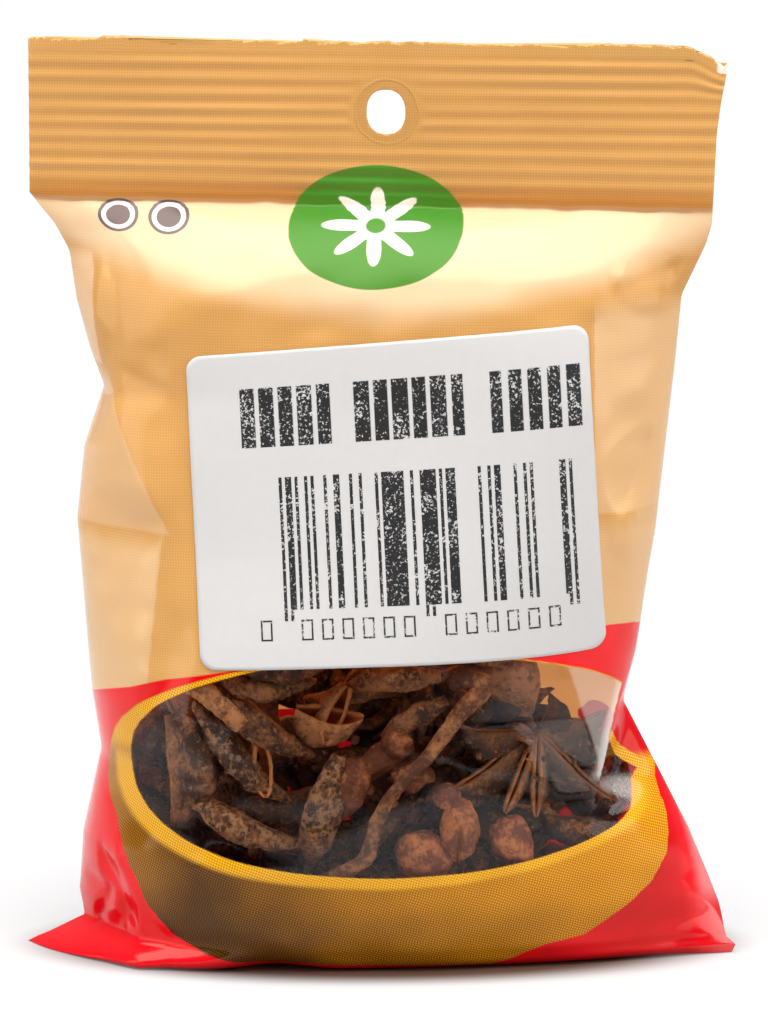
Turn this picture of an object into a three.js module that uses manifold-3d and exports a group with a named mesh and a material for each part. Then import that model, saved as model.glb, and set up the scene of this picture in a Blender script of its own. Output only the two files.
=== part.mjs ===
// A small retail bag of dried spice that stands on its folded bottom.
// The film bag is one solid: a flat ribbed header with a hang hole over a pillow of dry pods.
// A paper label follows the front. Millimetres, +Z up, the front looks along -Y,
// the origin is on the floor under the middle of the bag.

import * as THREE from 'three';
import { mergeVertices } from 'three/addons/utils/BufferGeometryUtils.js';
import Module from 'manifold-3d';

const wasm = await Module();
wasm.setup();

// ---- driving dimensions ----
const topHeight = 131.7;
const footHeight = 108.5;         // where the header meets the pillow
const headerHalfThickness = 0.4;
const cornerDroop = 2.3;          // the right corner of the header hangs this much lower

// Half widths to the left and right side seam: [height, distance from the middle].
// A flat ear spreads over the floor on each side of the folded bottom.
const leftSide = [
  [0, 51.9], [0.8, 50.4], [3.4, 43.9], [7, 44.9], [16, 44.2], [28.7, 41.4], [37.7, 42.7],
  [62.7, 44.6], [73.4, 43.4], [82.2, 40.4], [87.5, 42.4], [94.5, 44.3], [101.4, 45.3],
  [105, 47.3], [109.4, 51], [topHeight, 50.9],
];
const rightSide = [
  [0, 51.5], [1.2, 52], [2.4, 50.6], [7, 49.5], [17.9, 45], [28.5, 39.5], [36.8, 35.2],
  [44.5, 36.7], [62, 39.6], [86.8, 42.2], [96.4, 43], [104.1, 46.4], [107, 47.2],
  [119, 47.7], [topHeight, 49.2],
];

// Bulge of the front and of the back from the seam plane: [height, depth].
const frontDepth = [
  [0, 17.2], [4, 19], [10, 21.2], [17, 22.2], [26, 22.1], [44, 20.2], [62, 17], [80, 14.2],
  [92, 12.6], [98, 11], [102, 8.6], [106, 4.2], [footHeight, headerHalfThickness],
];
const backDepth = [
  [0, 16.4], [6, 18], [16, 19.2], [28, 19], [44, 17], [62, 14], [80, 11.4], [92, 9.4],
  [98, 8], [102, 6.2], [106, 3], [footHeight, headerHalfThickness],
];

// Fullness of the cross-section towards each side: [height, power of the oval].
const boxedPower = 60;
const leftFullness = [
  [0, 3.4], [5, 2.6], [20, 2.6], [40, 3], [62, 3.4], [80, 4.6], [92, 4.2], [101, 3],
  [footHeight, 2.4], [footHeight + 0.5, boxedPower],
];
const rightFullness = [
  [0, 3], [5, 2.6], [20, 2.6], [40, 2.8], [62, 3.2], [80, 3.6], [95, 3.2], [104, 2.4],
  [footHeight, 2.2], [footHeight + 0.5, boxedPower],
];
const edgeRoundness = [[0, 1], [4, 0.9], [10, 0.75], [20, 0.62], [80, 0.62], [95, 0.8], [104, 1]];
const frontLean = [[0, 0.5], [12, 0.34], [30, 0.18], [60, 0]];   // deeper on the left, low down
const leftSeamForward = [[0, 5], [1, 5], [3.4, 2], [8, 0]];      // the ears are folded forward
const rightSeamForward = [[0, 2.4], [2.2, 2.4], [6, 1], [12, 0]];
const bottomEdgeRadius = 1.8;
const tuck = { x: -14, width: 6, depth: 4 };                     // the lifted spot of the lower edge

// Creases of the front film: from, to, how far they stand out (- for in) and their half width.
const creases = [
  { from: [-39.8, 84], to: [-29.9, 64.5], depth: 1.6, width: 9 },
  { from: [-44, 62], to: [-29.9, 64.5], depth: -1, width: 6 },
  { from: [-29.9, 64.5], to: [-34, 40], depth: 0.9, width: 8 },
  { from: [38.6, 77], to: [35.3, 67], depth: -1.2, width: 5 },
  { from: [35.3, 67], to: [38, 58], depth: 0.8, width: 4 },
  { from: [-33.4, -2], to: [-34.4, 6], depth: 1.3, width: 5 },
  { from: [-40, 15.5], to: [-34.4, 5.5], depth: -1.5, width: 2.6 },
];

// The front's right edge folds in over the side: the fold's edge and how deep the side drops.
const foldEdge = [[20, 31.2], [24.5, 31], [36, 34], [44.5, 36.6], [62, 39.5]];
const fold = { drop: 0.66, width: 1.5, start: 21, full: 27, fade: 44, end: 58 };

const ribs = { pitch: 2.12, height: 0.22, start: 109.6, end: 130.1 };
const hole = { x: 0.6, z: 122, width: 5.6, height: 6.4, power: 2.3, ring: 4.9 };
const backFin = { left: -0.1, right: 0.13, height: 0.6, slope: 0.012 };   // shares of half width

const label = {
  x: 3, z: 68, width: 57.2, height: 45.3, corner: 2.2, turn: 0.064, gap: 0.5, thickness: 0.3,
  margin: 2.5,
};

const columnsPerSide = 28;
const bodyRowStep = 3.5;

// ---- small helpers ----
const clamp = (value, low, high) => Math.min(high, Math.max(low, value));

const smooth = (value) => {
  const t = clamp(value, 0, 1);
  return t * t * (3 - 2 * t);
};

// straight pieces between [height, value] points
function along(points, height) {
  let k = 1;
  while (k < points.length - 1 && height > points[k][0]) k += 1;
  const [h0, v0] = points[k - 1];
  const [h1, v1] = points[k];
  return v0 + (v1 - v0) * clamp((height - h0) / (h1 - h0), 0, 1);
}

// a curve through [height, value] points that never overshoots them
function curve(points, height) {
  const last = points.length - 1;
  const h = clamp(height, points[0][0], points[last][0]);
  let k = 0;
  while (k < last - 1 && h > points[k + 1][0]) k += 1;
  const slope = (i) => (points[i + 1][1] - points[i][1]) / (points[i + 1][0] - points[i][0]);
  const tangent = (i) => {
    if (i === 0) return slope(0);
    if (i === last) return slope(last - 1);
    const before = slope(i - 1);
    const after = slope(i);
    return before * after > 0 ? 2 * before * after / (before + after) : 0;
  };
  const span = points[k + 1][0] - points[k][0];
  const t = (h - points[k][0]) / span;
  const t2 = t * t;
  const t3 = t2 * t;
  return (2 * t3 - 3 * t2 + 1) * points[k][1] + (t3 - 2 * t2 + t) * span * tangent(k)
    + (3 * t2 - 2 * t3) * points[k + 1][1] + (t3 - t2) * span * tangent(k + 1);
}

// 1 on the film that the label holds flat, falling to 0 a short way outside it
function labelCover(x, z) {
  const dx = x - label.x;
  const dz = z - label.z;
  const s = dx * Math.cos(label.turn) + dz * Math.sin(label.turn);
  const t = dz * Math.cos(label.turn) - dx * Math.sin(label.turn);
  const inside = Math.min(label.width / 2 - Math.abs(s), label.height / 2 - Math.abs(t));
  return smooth((inside + label.margin) / label.margin);
}

function creaseDepth(x, z) {
  let total = 0;
  for (const { from, to, depth, width } of creases) {
    const dx = to[0] - from[0];
    const dz = to[1] - from[1];
    const length = Math.hypot(dx, dz);
    const t = ((x - from[0]) * dx + (z - from[1]) * dz) / (length * length);
    const aside = ((x - from[0]) * dz - (z - from[1]) * dx) / length;
    const half = width * (0.4 + 0.6 * Math.sin(Math.PI * clamp(t, 0, 1)));
    const ends = smooth((t + 0.15) / 0.3) * smooth((1.15 - t) / 0.3);
    total += depth * clamp(1 - Math.abs(aside) / half, 0, 1) * ends;
  }
  return total * (1 - labelCover(x, z));
}

// how far the right of the front drops in behind the folded edge, from 0 to 1
function foldDrop(x, z) {
  const reach = smooth((z - fold.start) / (fold.full - fold.start))
    * smooth((fold.end - z) / (fold.end - fold.fade));
  return fold.drop * reach * smooth((x - along(foldEdge, z)) / fold.width);
}

function ribOffset(x, z) {
  if (z < ribs.start || z > ribs.end) return 0;
  const fromHole = Math.hypot(x - hole.x, z - hole.z);
  const wave = Math.cos(2 * Math.PI * (z - ribs.start) / ribs.pitch);
  return ribs.height * wave * smooth((fromHole - hole.ring) / 2);
}

// a point of the front or back film: u runs from -1 at the left seam to 1 at the right seam
function filmPoint(u, height, isFront) {
  const left = along(leftSide, height);
  const right = along(rightSide, height);
  const x = (right - left) / 2 + u * (left + right) / 2;
  const power = curve(u < 0 ? leftFullness : rightFullness, height);
  const bulge = (1 - Math.abs(u) ** power) ** curve(edgeRoundness, height);
  const middle = smooth((1 - Math.abs(u)) / 0.25);
  let depth = curve(isFront ? frontDepth : backDepth, height) * bulge;
  let radius = bottomEdgeRadius;
  if (isFront) {
    depth *= (1 - curve(frontLean, height) * u) * (1 - foldDrop(x, height));
    depth += creaseDepth(x, height) * smooth((footHeight - 1 - height) / 5)
      * smooth((1 - Math.abs(u)) / 0.08);
    radius += tuck.depth * Math.exp(-(((x - tuck.x) / tuck.width) ** 2));
  } else if (height < footHeight - 2) {
    const intoFin = Math.min(u - backFin.left, backFin.right - u);
    depth += backFin.height * clamp(intoFin / backFin.slope, 0, 1);
  }
  const rise = clamp(1 - height / radius, 0, 1);
  depth -= radius * (1 - Math.sqrt(1 - rise * rise)) * middle;
  depth = Math.max(depth, 0.02);
  const seam = curve(leftSeamForward, height) * clamp(-u, 0, 1) ** 3
    + curve(rightSeamForward, height) * clamp(u, 0, 1) ** 3;
  const y = (isFront ? -depth : depth) - seam + ribOffset(x, height);
  // the foot of the header runs slightly down to the right, and so does its top edge
  const footTilt = 0.011 * x * smooth((height - 90) / 16) * (1 - smooth((height - 110) / 14));
  const topTilt = 0.008 * (x + 51) - 0.6 + cornerDroop * smooth((x - 43.5) / 5.5);
  return [x, y, height - footTilt - topTilt * smooth((height - 122) / (topHeight - 122))];
}

// ---- mesh making ----
function solidGeometry(points, faces) {
  const geometry = new THREE.BufferGeometry();
  geometry.setAttribute('position', new THREE.Float32BufferAttribute(points.flat(), 3));
  geometry.setIndex(faces.flat());
  return mergeVertices(geometry, 1e-5);
}

function toManifold(geometry) {
  return new wasm.Manifold(new wasm.Mesh({
    numProp: 3,
    vertProperties: new Float32Array(geometry.attributes.position.array),
    triVerts: new Uint32Array(geometry.index.array),
  }));
}

function fromManifold(solid) {
  const mesh = solid.getMesh();
  const geometry = new THREE.BufferGeometry();
  geometry.setAttribute('position', new THREE.Float32BufferAttribute(mesh.vertProperties, 3));
  geometry.setIndex(new THREE.Uint32BufferAttribute(mesh.triVerts, 1));
  return geometry;
}

function columnShares() {
  const shares = [backFin.left, backFin.left + backFin.slope];
  shares.push(backFin.right - backFin.slope, backFin.right);
  for (let k = 0; k <= columnsPerSide; k += 1) {
    const share = Math.sin(Math.PI * (k / columnsPerSide - 0.5));
    if (shares.slice(0, 4).every((edge) => Math.abs(edge - share) > 0.02)) shares.push(share);
  }
  return shares.sort((a, b) => a - b);
}

function rowHeights() {
  const rows = [0, 0.8, 1.6, 2.4, 3.4, 5, 7.2, 10];
  const count = Math.round((102 - 10) / bodyRowStep);
  for (let k = 1; k <= count; k += 1) rows.push(10 + (102 - 10) * k / count);
  rows.push(104.2, 106.4, footHeight - 0.3, footHeight + 0.3);
  for (let z = ribs.start; z < ribs.end; z += ribs.pitch / 2) rows.push(z);
  rows.push(topHeight);
  return rows;
}

// The bag as a closed tube: rings of front columns, then back columns, capped at both ends.
function bagGeometry() {
  const shares = columnShares();
  const n = shares.length;
  const rows = rowHeights();
  const backShares = shares.slice(1, -1).reverse();
  const ringSize = n + backShares.length;
  const points = [];
  for (const height of rows) {
    for (const u of shares) points.push(filmPoint(u, height, true));
    for (const u of backShares) points.push(filmPoint(u, height, false));
  }
  const faces = [];
  for (let i = 0; i < rows.length - 1; i += 1) {
    for (let j = 0; j < ringSize; j += 1) {
      const a = i * ringSize + j;
      const b = i * ringSize + (j + 1) % ringSize;
      faces.push([a, b, b + ringSize], [a, b + ringSize, a + ringSize]);
    }
  }
  const lid = (row, up) => {
    const first = row * ringSize;
    const behind = (j) => (j === 0 || j === n - 1 ? first + j : first + ringSize - j);
    for (let j = 0; j < n - 1; j += 1) {
      const corners = [first + j, first + j + 1, behind(j + 1), behind(j)];
      const halves = [[corners[0], corners[1], corners[2]], [corners[0], corners[2], corners[3]]];
      for (const half of halves) {
        if (new Set(half).size === 3) faces.push(up ? half : half.reverse());
      }
    }
  };
  lid(0, false);
  lid(rows.length - 1, true);
  return solidGeometry(points, faces);
}

function holePlug() {
  const steps = 28;
  const shape = new THREE.Shape();
  const outward = (c, half) => Math.sign(c) * half * Math.abs(c) ** (2 / hole.power);
  for (let k = 0; k < steps; k += 1) {
    const angle = 2 * Math.PI * k / steps;
    const x = outward(Math.cos(angle), hole.width / 2);
    const z = outward(Math.sin(angle), hole.height / 2);
    if (k === 0) shape.moveTo(x, z);
    else shape.lineTo(x, z);
  }
  const depth = 4;
  const plug = new THREE.ExtrudeGeometry(shape, { depth, bevelEnabled: false });
  plug.translate(0, 0, -depth / 2);
  plug.rotateX(Math.PI / 2);
  plug.translate(hole.x, 0, hole.z);
  plug.deleteAttribute('normal');
  plug.deleteAttribute('uv');
  return mergeVertices(plug, 1e-5);
}

function packGeometry() {
  return fromManifold(toManifold(bagGeometry()).subtract(toManifold(holePlug())));
}

// The label's outline, as the distances s and t from its middle at an angle round it.
function labelOutline(steps) {
  const w = label.width / 2 - label.corner;
  const h = label.height / 2 - label.corner;
  const corners = [[w, h], [-w, h], [-w, -h], [w, -h]];
  const outline = [];
  corners.forEach(([cs, ct], quarter) => {
    for (let k = 0; k <= 3; k += 1) {
      const angle = Math.PI / 2 * (quarter + k / 3);
      outline.push([cs + label.corner * Math.cos(angle), ct + label.corner * Math.sin(angle)]);
    }
    const [ns, nt] = corners[(quarter + 1) % 4];
    const end = Math.PI / 2 * (quarter + 1);
    for (let k = 1; k < steps; k += 1) {
      const f = k / steps;
      outline.push([
        cs + (ns - cs) * f + label.corner * Math.cos(end),
        ct + (nt - ct) * f + label.corner * Math.sin(end),
      ]);
    }
  });
  return outline;
}

function labelPoint(s, t, lift) {
  const x = label.x + s * Math.cos(label.turn) - t * Math.sin(label.turn);
  const z = label.z + s * Math.sin(label.turn) + t * Math.cos(label.turn);
  const left = along(leftSide, z);
  const right = along(rightSide, z);
  const film = filmPoint((x - (right - left) / 2) / ((left + right) / 2), z, true);
  return [film[0], film[1] - lift, film[2]];
}

// Rings of the outline drawn in towards the middle, on both faces, joined round the edge.
function labelGeometry() {
  const outline = labelOutline(7);
  const rings = 8;
  const n = outline.length;
  const points = [];
  for (const lift of [label.gap + label.thickness, label.gap]) {
    for (let ring = rings; ring >= 1; ring -= 1) {
      for (const [s, t] of outline) points.push(labelPoint(s * ring / rings, t * ring / rings, lift));
    }
    points.push(labelPoint(0, 0, lift));
  }
  const face = rings * n + 1;
  const faces = [];
  for (let j = 0; j < n; j += 1) {
    const k = (j + 1) % n;
    for (let ring = 0; ring < rings; ring += 1) {
      const a = ring * n + j;
      const b = ring * n + k;
      const c = ring < rings - 1 ? b + n : rings * n;
      const d = ring < rings - 1 ? a + n : rings * n;
      faces.push([a, b, c], [face + a, face + c, face + b]);
      if (c !== d) faces.push([a, c, d], [face + a, face + d, face + c]);
    }
    faces.push([j, face + j, face + k], [j, face + k, k]);
  }
  return solidGeometry(points, faces);
}

// ---- assembly ----
function part(name, geometry, color, roughness) {
  const material = new THREE.MeshStandardMaterial({ color, roughness, metalness: 0 });
  const mesh = new THREE.Mesh(geometry, material);
  mesh.name = name;
  return mesh;
}

const object = new THREE.Group();
object.add(part('pack', packGeometry(), 0xe6af66, 0.35));
object.add(part('label', labelGeometry(), 0xeae8e6, 0.6));

export default object;
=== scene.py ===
# A small bag of dried spice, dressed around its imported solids: printed film with a clear window,
# a paper label, and the dry pods inside. Shapes are worked out in millimetres and written in metres.
import math

import bpy
import numpy as np
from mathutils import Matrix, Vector


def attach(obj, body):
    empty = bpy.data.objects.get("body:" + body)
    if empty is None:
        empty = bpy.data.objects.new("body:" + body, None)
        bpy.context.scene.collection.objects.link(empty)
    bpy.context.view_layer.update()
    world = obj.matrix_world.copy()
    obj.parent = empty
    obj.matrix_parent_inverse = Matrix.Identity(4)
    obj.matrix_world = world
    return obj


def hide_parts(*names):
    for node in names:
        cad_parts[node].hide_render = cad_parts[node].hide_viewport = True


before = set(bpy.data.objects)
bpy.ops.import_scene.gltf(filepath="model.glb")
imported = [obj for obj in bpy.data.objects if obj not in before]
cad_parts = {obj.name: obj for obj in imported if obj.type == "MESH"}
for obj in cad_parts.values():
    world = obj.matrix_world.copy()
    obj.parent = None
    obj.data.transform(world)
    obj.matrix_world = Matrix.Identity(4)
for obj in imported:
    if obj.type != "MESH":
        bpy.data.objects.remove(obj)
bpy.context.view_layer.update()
metre = 0.001  # one millimetre


# meshes: whole arrays of points and faces
def closedTube(rings):
    # rings is rows x columns x 3; neighbours are joined and each end is a fan to its own middle
    rows, columns = rings.shape[:2]
    points = np.concatenate([rings.reshape(-1, 3), rings[:1].mean(1), rings[-1:].mean(1)])
    i, j = np.meshgrid(np.arange(rows - 1), np.arange(columns), indexing="ij")
    a, b = i*columns + j, i*columns + (j + 1) % columns
    quads = np.stack([a, b, b + columns, a + columns], -1).reshape(-1, 4)
    j = np.arange(columns)
    last = (rows - 1)*columns
    low = np.stack([(j + 1) % columns, j, np.full(columns, rows*columns)], -1)
    high = np.stack([last + j, last + (j + 1) % columns, np.full(columns, rows*columns + 1)], -1)
    return points, quads, np.concatenate([low, high])


def signedVolume(points, quads, tris):
    corners = np.concatenate([quads[:, :3], quads[:, [0, 2, 3]], tris])
    a, b, c = (points[corners[:, k]] for k in range(3))
    return np.einsum("ij,ij->", a, np.cross(b, c)) / 6


def facingOut(points, quads, tris):
    # the faces as they are, or all turned round where they face inwards
    if signedVolume(points, quads, tris) < 0:
        return quads[:, ::-1], tris[:, ::-1]
    return quads, tris


def joinParts(parts):
    # (points, quads, tris, attributes) of many small parts as one, each turned right side out
    points, quads, tris, values, first = [], [], [], {}, 0
    for p, q, t, given in parts:
        q, t = facingOut(p, q, t)
        points.append(p)
        quads.append(q + first)
        tris.append(t + first)
        for name, value in given.items():
            values.setdefault(name, []).append(np.broadcast_to(value, len(p)))
        first += len(p)
    joined = {name: np.concatenate(value) for name, value in values.items()}
    return np.concatenate(points), np.concatenate(quads), np.concatenate(tris), joined


def addPiece(name, points, quads, tris, material, attributes=None, uv=None):
    mesh = bpy.data.meshes.new(name)
    faces = quads.tolist() + tris.tolist()
    mesh.from_pydata((points*metre).tolist(), [], faces)
    mesh.polygons.foreach_set("use_smooth", np.ones(len(faces), bool))
    for label, value in (attributes or {}).items():
        mesh.attributes.new(label, "FLOAT", "POINT").data.foreach_set("value", value.astype(np.float32))
    if uv is not None:
        mesh.uv_layers.new(name="print").data.foreach_set("uv", uv.astype(np.float32).ravel())
    mesh.materials.append(material)
    mesh.update()
    piece = bpy.data.objects.new(name, mesh)
    bpy.context.scene.collection.objects.link(piece)
    return piece


def unit(vectors):  # each made 1 long
    return vectors/np.linalg.norm(vectors, axis=-1, keepdims=True)


def waves(seed, places, wavelength, count=14, spread=0.35):
    # a smooth random field: the mean of sine waves in random directions, about -1 to 1
    rng = np.random.default_rng(seed)
    directions = unit(rng.normal(size=(count, places.shape[-1])))
    lengths = wavelength * np.exp(rng.normal(0, spread, count))
    phases = rng.uniform(0, 2*np.pi, count)
    angles = places @ (directions/lengths[:, None]).T * 2*np.pi + phases
    return np.sin(angles).sum(-1) / math.sqrt(count)


# shaders: a socket that does sums, so that a mask reads as a formula
class Shader:
    def __init__(self, tree, socket=None):
        self.tree, self.socket = tree, socket

    def node(self, kind, settings=None, inputs=None, output=0):
        # settings are set first; inputs go by name or by number, as values or as other sockets
        made = self.tree.nodes.new("ShaderNode" + kind)
        for name, value in (settings or {}).items():
            if name == "stops":
                setStops(made.color_ramp, value)
            else:
                setattr(made, name, value)
        for name, value in (inputs or {}).items():
            if isinstance(value, Shader):
                self.tree.links.new(value.socket, made.inputs[name])
            else:
                made.inputs[name].default_value = value
        return Shader(self.tree, made.outputs[output])

    def maths(self, operation, *values):
        return self.node("Math", {"operation": operation}, dict(enumerate(values)))

    def __add__(self, other):
        return self.maths("ADD", self, other)

    def __radd__(self, other):
        return self.maths("ADD", other, self)

    def __sub__(self, other):
        return self.maths("SUBTRACT", self, other)

    def __rsub__(self, other):
        return self.maths("SUBTRACT", other, self)

    def __mul__(self, other):
        return self.maths("MULTIPLY", self, other)

    def __rmul__(self, other):
        return self.maths("MULTIPLY", other, self)

    def __truediv__(self, other):
        return self.maths("DIVIDE", self, other)

    def __pow__(self, other):
        return self.maths("POWER", self, other)

    def __abs__(self):
        return self.maths("ABSOLUTE", self)

    def sine(self):
        return self.maths("SINE", self)

    def whole(self):
        return self.maths("FLOOR", self)

    def fraction(self):
        return self.maths("FRACT", self)

    def least(self, other):
        return self.maths("MINIMUM", self, other)

    def most(self, other):
        return self.maths("MAXIMUM", self, other)

    def chance(self):
        # a random height from 0 to 1 for each whole number
        return self.node("TexWhiteNoise", {"noise_dimensions": "1D"}, {"W": self})

    def rise(self, low, high):
        # 0 at low, 1 at high, an S between; low may be the greater
        if low > high:
            return 1 - self.rise(high, low)
        ranges = {"Value": self, "From Min": low, "From Max": high}
        return self.node("MapRange", {"interpolation_type": "SMOOTHSTEP"}, ranges)

    def curve(self, points):
        # a height for each place: points are (place, height), joined smoothly by a ramp
        places, heights = zip(*points)
        low, span = min(places), max(places) - min(places)
        floor, tall = min(heights), max(heights) - min(heights)
        stops = [((p - low)/span, ((h - floor)/tall,)*3) for p, h in points]
        ramp = self.node("ValToRGB", {"stops": stops}, {"Fac": (self - low)/span})
        return ramp*tall + floor

    def blend(self, first, second, factor):
        # colours: the first where factor is 0, the second where it is 1
        return self.node("Mix", {"data_type": "RGBA"}, {0: factor, 6: first, 7: second}, output=2)

    def mix(self, other, factor):
        return self.blend(self, other, factor)

    def tint(self, strength):
        # a colour made lighter or darker by a value
        return self.node("VectorMath", {"operation": "SCALE"}, {0: self, "Scale": strength})

    def colour(self, red, green, blue):
        return self.node("CombineColor", {}, {"Red": red, "Green": green, "Blue": blue})

    def noise(self, scale, detail=2.0, roughness=0.5):
        # clouds over the piece's own coordinates, 0 to 1
        place = self.node("TexCoord", {}, {}, output=3)
        settings = {"Vector": place, "Scale": scale, "Detail": detail, "Roughness": roughness}
        return self.node("TexNoise", {}, settings)

    def printPlace(self, axis):
        # how far a spot is across the print map (axis 0) or up it (axis 1)
        place = self.node("UVMap", {"uv_map": "print"})
        return self.node("SeparateXYZ", {}, {0: place}, output=axis)

    def bump(self, height, strength):
        return self.node("Bump", {}, {"Strength": strength, "Distance": 0.001, "Height": height})

    def layers(self, factor, under, over):
        # shaders: under where factor is 0, over where it is 1
        return self.node("MixShader", {}, {0: factor, 1: under, 2: over})


def setStops(ramp, stops):
    ramp.interpolation = "LINEAR"
    while len(ramp.elements) < len(stops):
        ramp.elements.new(0.5)
    for element, (place, value) in zip(ramp.elements, stops):
        element.position = place
        element.color = (*value, 1)


def newMaterial(name):
    material = bpy.data.materials.new(name)
    material.use_nodes = True
    material.node_tree.nodes.clear()
    return material, Shader(material.node_tree)


def finishMaterial(sheet, surface):
    output = sheet.tree.nodes.new("ShaderNodeOutputMaterial")
    sheet.tree.links.new(surface.socket, output.inputs["Surface"])


def linear(red, green, blue):
    # a screen colour of 0 to 255 as the light it stands for
    c = np.array([red, green, blue], float) / 255
    light = np.where(c <= 0.04045, c/12.92, ((c + 0.055)/1.055)**2.4)
    return (float(light[0]), float(light[1]), float(light[2]), 1.0)


# the bag's form, in millimetres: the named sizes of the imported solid, with more creases
topHeight = 131.7
footHeight = 108.5  # the foot of the flat header
bagForm = {
    "cornerDroop": 2.3, "bottomEdgeRadius": 1.8,
    # heights and distances from the middle to each side seam
    "leftSide": [(0, 51.9), (0.8, 50.4), (3.4, 43.9), (7, 44.9), (16, 44.2), (28.7, 41.4), (37.7, 42.7),
                 (62.7, 44.6), (73.4, 43.4), (82.2, 40.4), (87.5, 42.4), (94.5, 44.3), (101.4, 45.3),
                 (105, 47.3), (109.4, 51), (topHeight, 50.9)],
    "rightSide": [(0, 51.5), (1.2, 52), (2.4, 50.6), (7, 49.5), (17.9, 45), (28.5, 39.5), (36.8, 35.2),
                  (44.5, 36.7), (62, 39.6), (86.8, 42.2), (96.4, 43), (104.1, 46.4), (107, 47.2),
                  (119, 47.7), (topHeight, 49.2)],
    # heights and bulge from the seam plane
    "front": [(0, 17.2), (4, 19), (10, 21.2), (17, 22.2), (26, 22.1), (44, 20.2), (62, 17), (80, 14.2),
              (92, 12.6), (98, 11), (102, 8.6), (106, 4.2), (footHeight, 0.3)],
    "back": [(0, 16.4), (6, 18), (16, 19.2), (28, 19), (44, 17), (62, 14), (80, 11.4), (92, 9.4),
             (98, 8), (102, 6.2), (106, 3), (footHeight, 0.3)],
    # heights and power of the oval cross-section towards each side
    "leftFullness": [(0, 3.4), (5, 2.6), (20, 2.6), (40, 3), (62, 3.4), (80, 4.6), (92, 4.2), (101, 3),
                     (footHeight, 2.4), (footHeight + 0.5, 60)],
    "rightFullness": [(0, 3), (5, 2.6), (20, 2.6), (40, 2.8), (62, 3.2), (80, 3.6), (95, 3.2), (104, 2.4),
                      (footHeight, 2.2), (footHeight + 0.5, 60)],
    "roundness": [(0, 1), (4, 0.9), (10, 0.75), (20, 0.62), (80, 0.62), (95, 0.8), (104, 1)],
    "lean": [(0, 0.5), (12, 0.34), (30, 0.18), (60, 0)],
    "leftSeamForward": [(0, 5), (1, 5), (3.4, 2), (8, 0)],
    "rightSeamForward": [(0, 2.4), (2.2, 2.4), (6, 1), (12, 0)],
    "tuck": {"x": -14, "width": 6, "depth": 4},
    "foldEdge": [(20, 31.2), (24.5, 31), (36, 34), (44.5, 36.6), (62, 39.5)],
    "fold": {"drop": 0.62, "width": 2.4, "start": 21, "full": 27, "fade": 44, "end": 58, "overhang": 0.3},
    "ribs": {"pitch": 2.12, "height": 0.12, "start": 109.6, "end": 130.1},
    "fin": {"left": -0.1, "right": 0.13, "height": 0.6, "slope": 0.006},
}
hole = {"x": 0.6, "z": 122, "width": 5.6, "height": 6.4, "power": 2.3, "ring": 4.9}
labelForm = {"x": 3, "z": 68, "width": 57.2, "height": 45.3, "corner": 2.2, "turn": 0.064,
             "margin": 2.5}
# from (x, z), to (x, z), how far it stands out of the film, half width
creases = [((-39.8, 84), (-29.9, 64.5), 1.6, 9), ((-44, 62), (-29.9, 64.5), -1.0, 6),
           ((-29.9, 64.5), (-34, 40), 0.9, 8), ((38.6, 77), (35.3, 67), -1.2, 5),
           ((35.3, 67), (38, 58), 0.8, 4), ((34, 100), (41.5, 95), 0.7, 3.5),
           ((35, 98), (43, 101), -0.8, 4), ((-40, 100), (-42.5, 84), 0.9, 3.5),
           ((-33.4, -2), (-34.4, 6), 1.3, 5),
           ((-40, 15.5), (-34.4, 5.5), -1.5, 2.6), ((-37.5, 16), (-33.4, 5), 0.5, 1.4),
           ((-44, 10.5), (-38.5, 9.5), -1.0, 2.0), ((-38.5, 9.5), (-41.5, 3.5), -1.1, 1.8),
           ((-36.6, 8), (-36, 4.5), -0.7, 1.8), ((27.5, 44), (32.2, 28), 0.9, 5)]


def smooth(t):  # 0 below 0, 1 above 1, an S between
    t = np.clip(t, 0, 1)
    return t * t * (3 - 2 * t)


def along(points, z):  # straight pieces between the points
    p = np.array(points, float)
    return np.interp(z, p[:, 0], p[:, 1])


def curve(points, z):  # cubic through the points, its slopes limited so that it never overshoots
    x, y = np.array(points, float).T
    d = np.diff(y) / np.diff(x)
    product, total = d[:-1] * d[1:], d[:-1] + d[1:]
    inner = np.where(product > 0, 2 * product / np.where(total == 0, 1, total), 0)
    m = np.concatenate([d[:1], inner, d[-1:]])
    z = np.clip(z, x[0], x[-1])
    i = np.clip(np.searchsorted(x, z) - 1, 0, len(x) - 2)
    h = x[i + 1] - x[i]
    t = (z - x[i]) / h
    return ((2*t**3 - 3*t**2 + 1) * y[i] + (t**3 - 2*t**2 + t) * h * m[i]
            + (3*t**2 - 2*t**3) * y[i + 1] + (t**3 - t**2) * h * m[i + 1])


def labelCover(x, z):  # 1 under the label, 0 past its margin
    c, s = math.cos(labelForm["turn"]), math.sin(labelForm["turn"])
    dx, dz = x - labelForm["x"], z - labelForm["z"]
    fromSide = labelForm["width"]/2 - np.abs(dx*c + dz*s)
    fromEnd = labelForm["height"]/2 - np.abs(dz*c - dx*s)
    inside = np.minimum(fromSide, fromEnd)
    return smooth((inside + labelForm["margin"]) / labelForm["margin"])


def creaseDepth(x, z):  # tent across each crease line, widest at its middle, fading past its ends
    total = np.zeros_like(x)
    for (x0, z0), (x1, z1), depth, width in creases:
        dx, dz = x1 - x0, z1 - z0
        length = math.hypot(dx, dz)
        t = ((x - x0)*dx + (z - z0)*dz) / length**2
        aside = ((x - x0)*dz - (z - z0)*dx) / length
        half = width * (0.4 + 0.6*np.sin(np.pi*np.clip(t, 0, 1)))
        ends = smooth((t + 0.15)/0.3) * smooth((1.15 - t)/0.3)
        total = total + depth * np.clip(1 - np.abs(aside)/half, 0, 1) * ends
    return total * (1 - labelCover(x, z))


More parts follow.
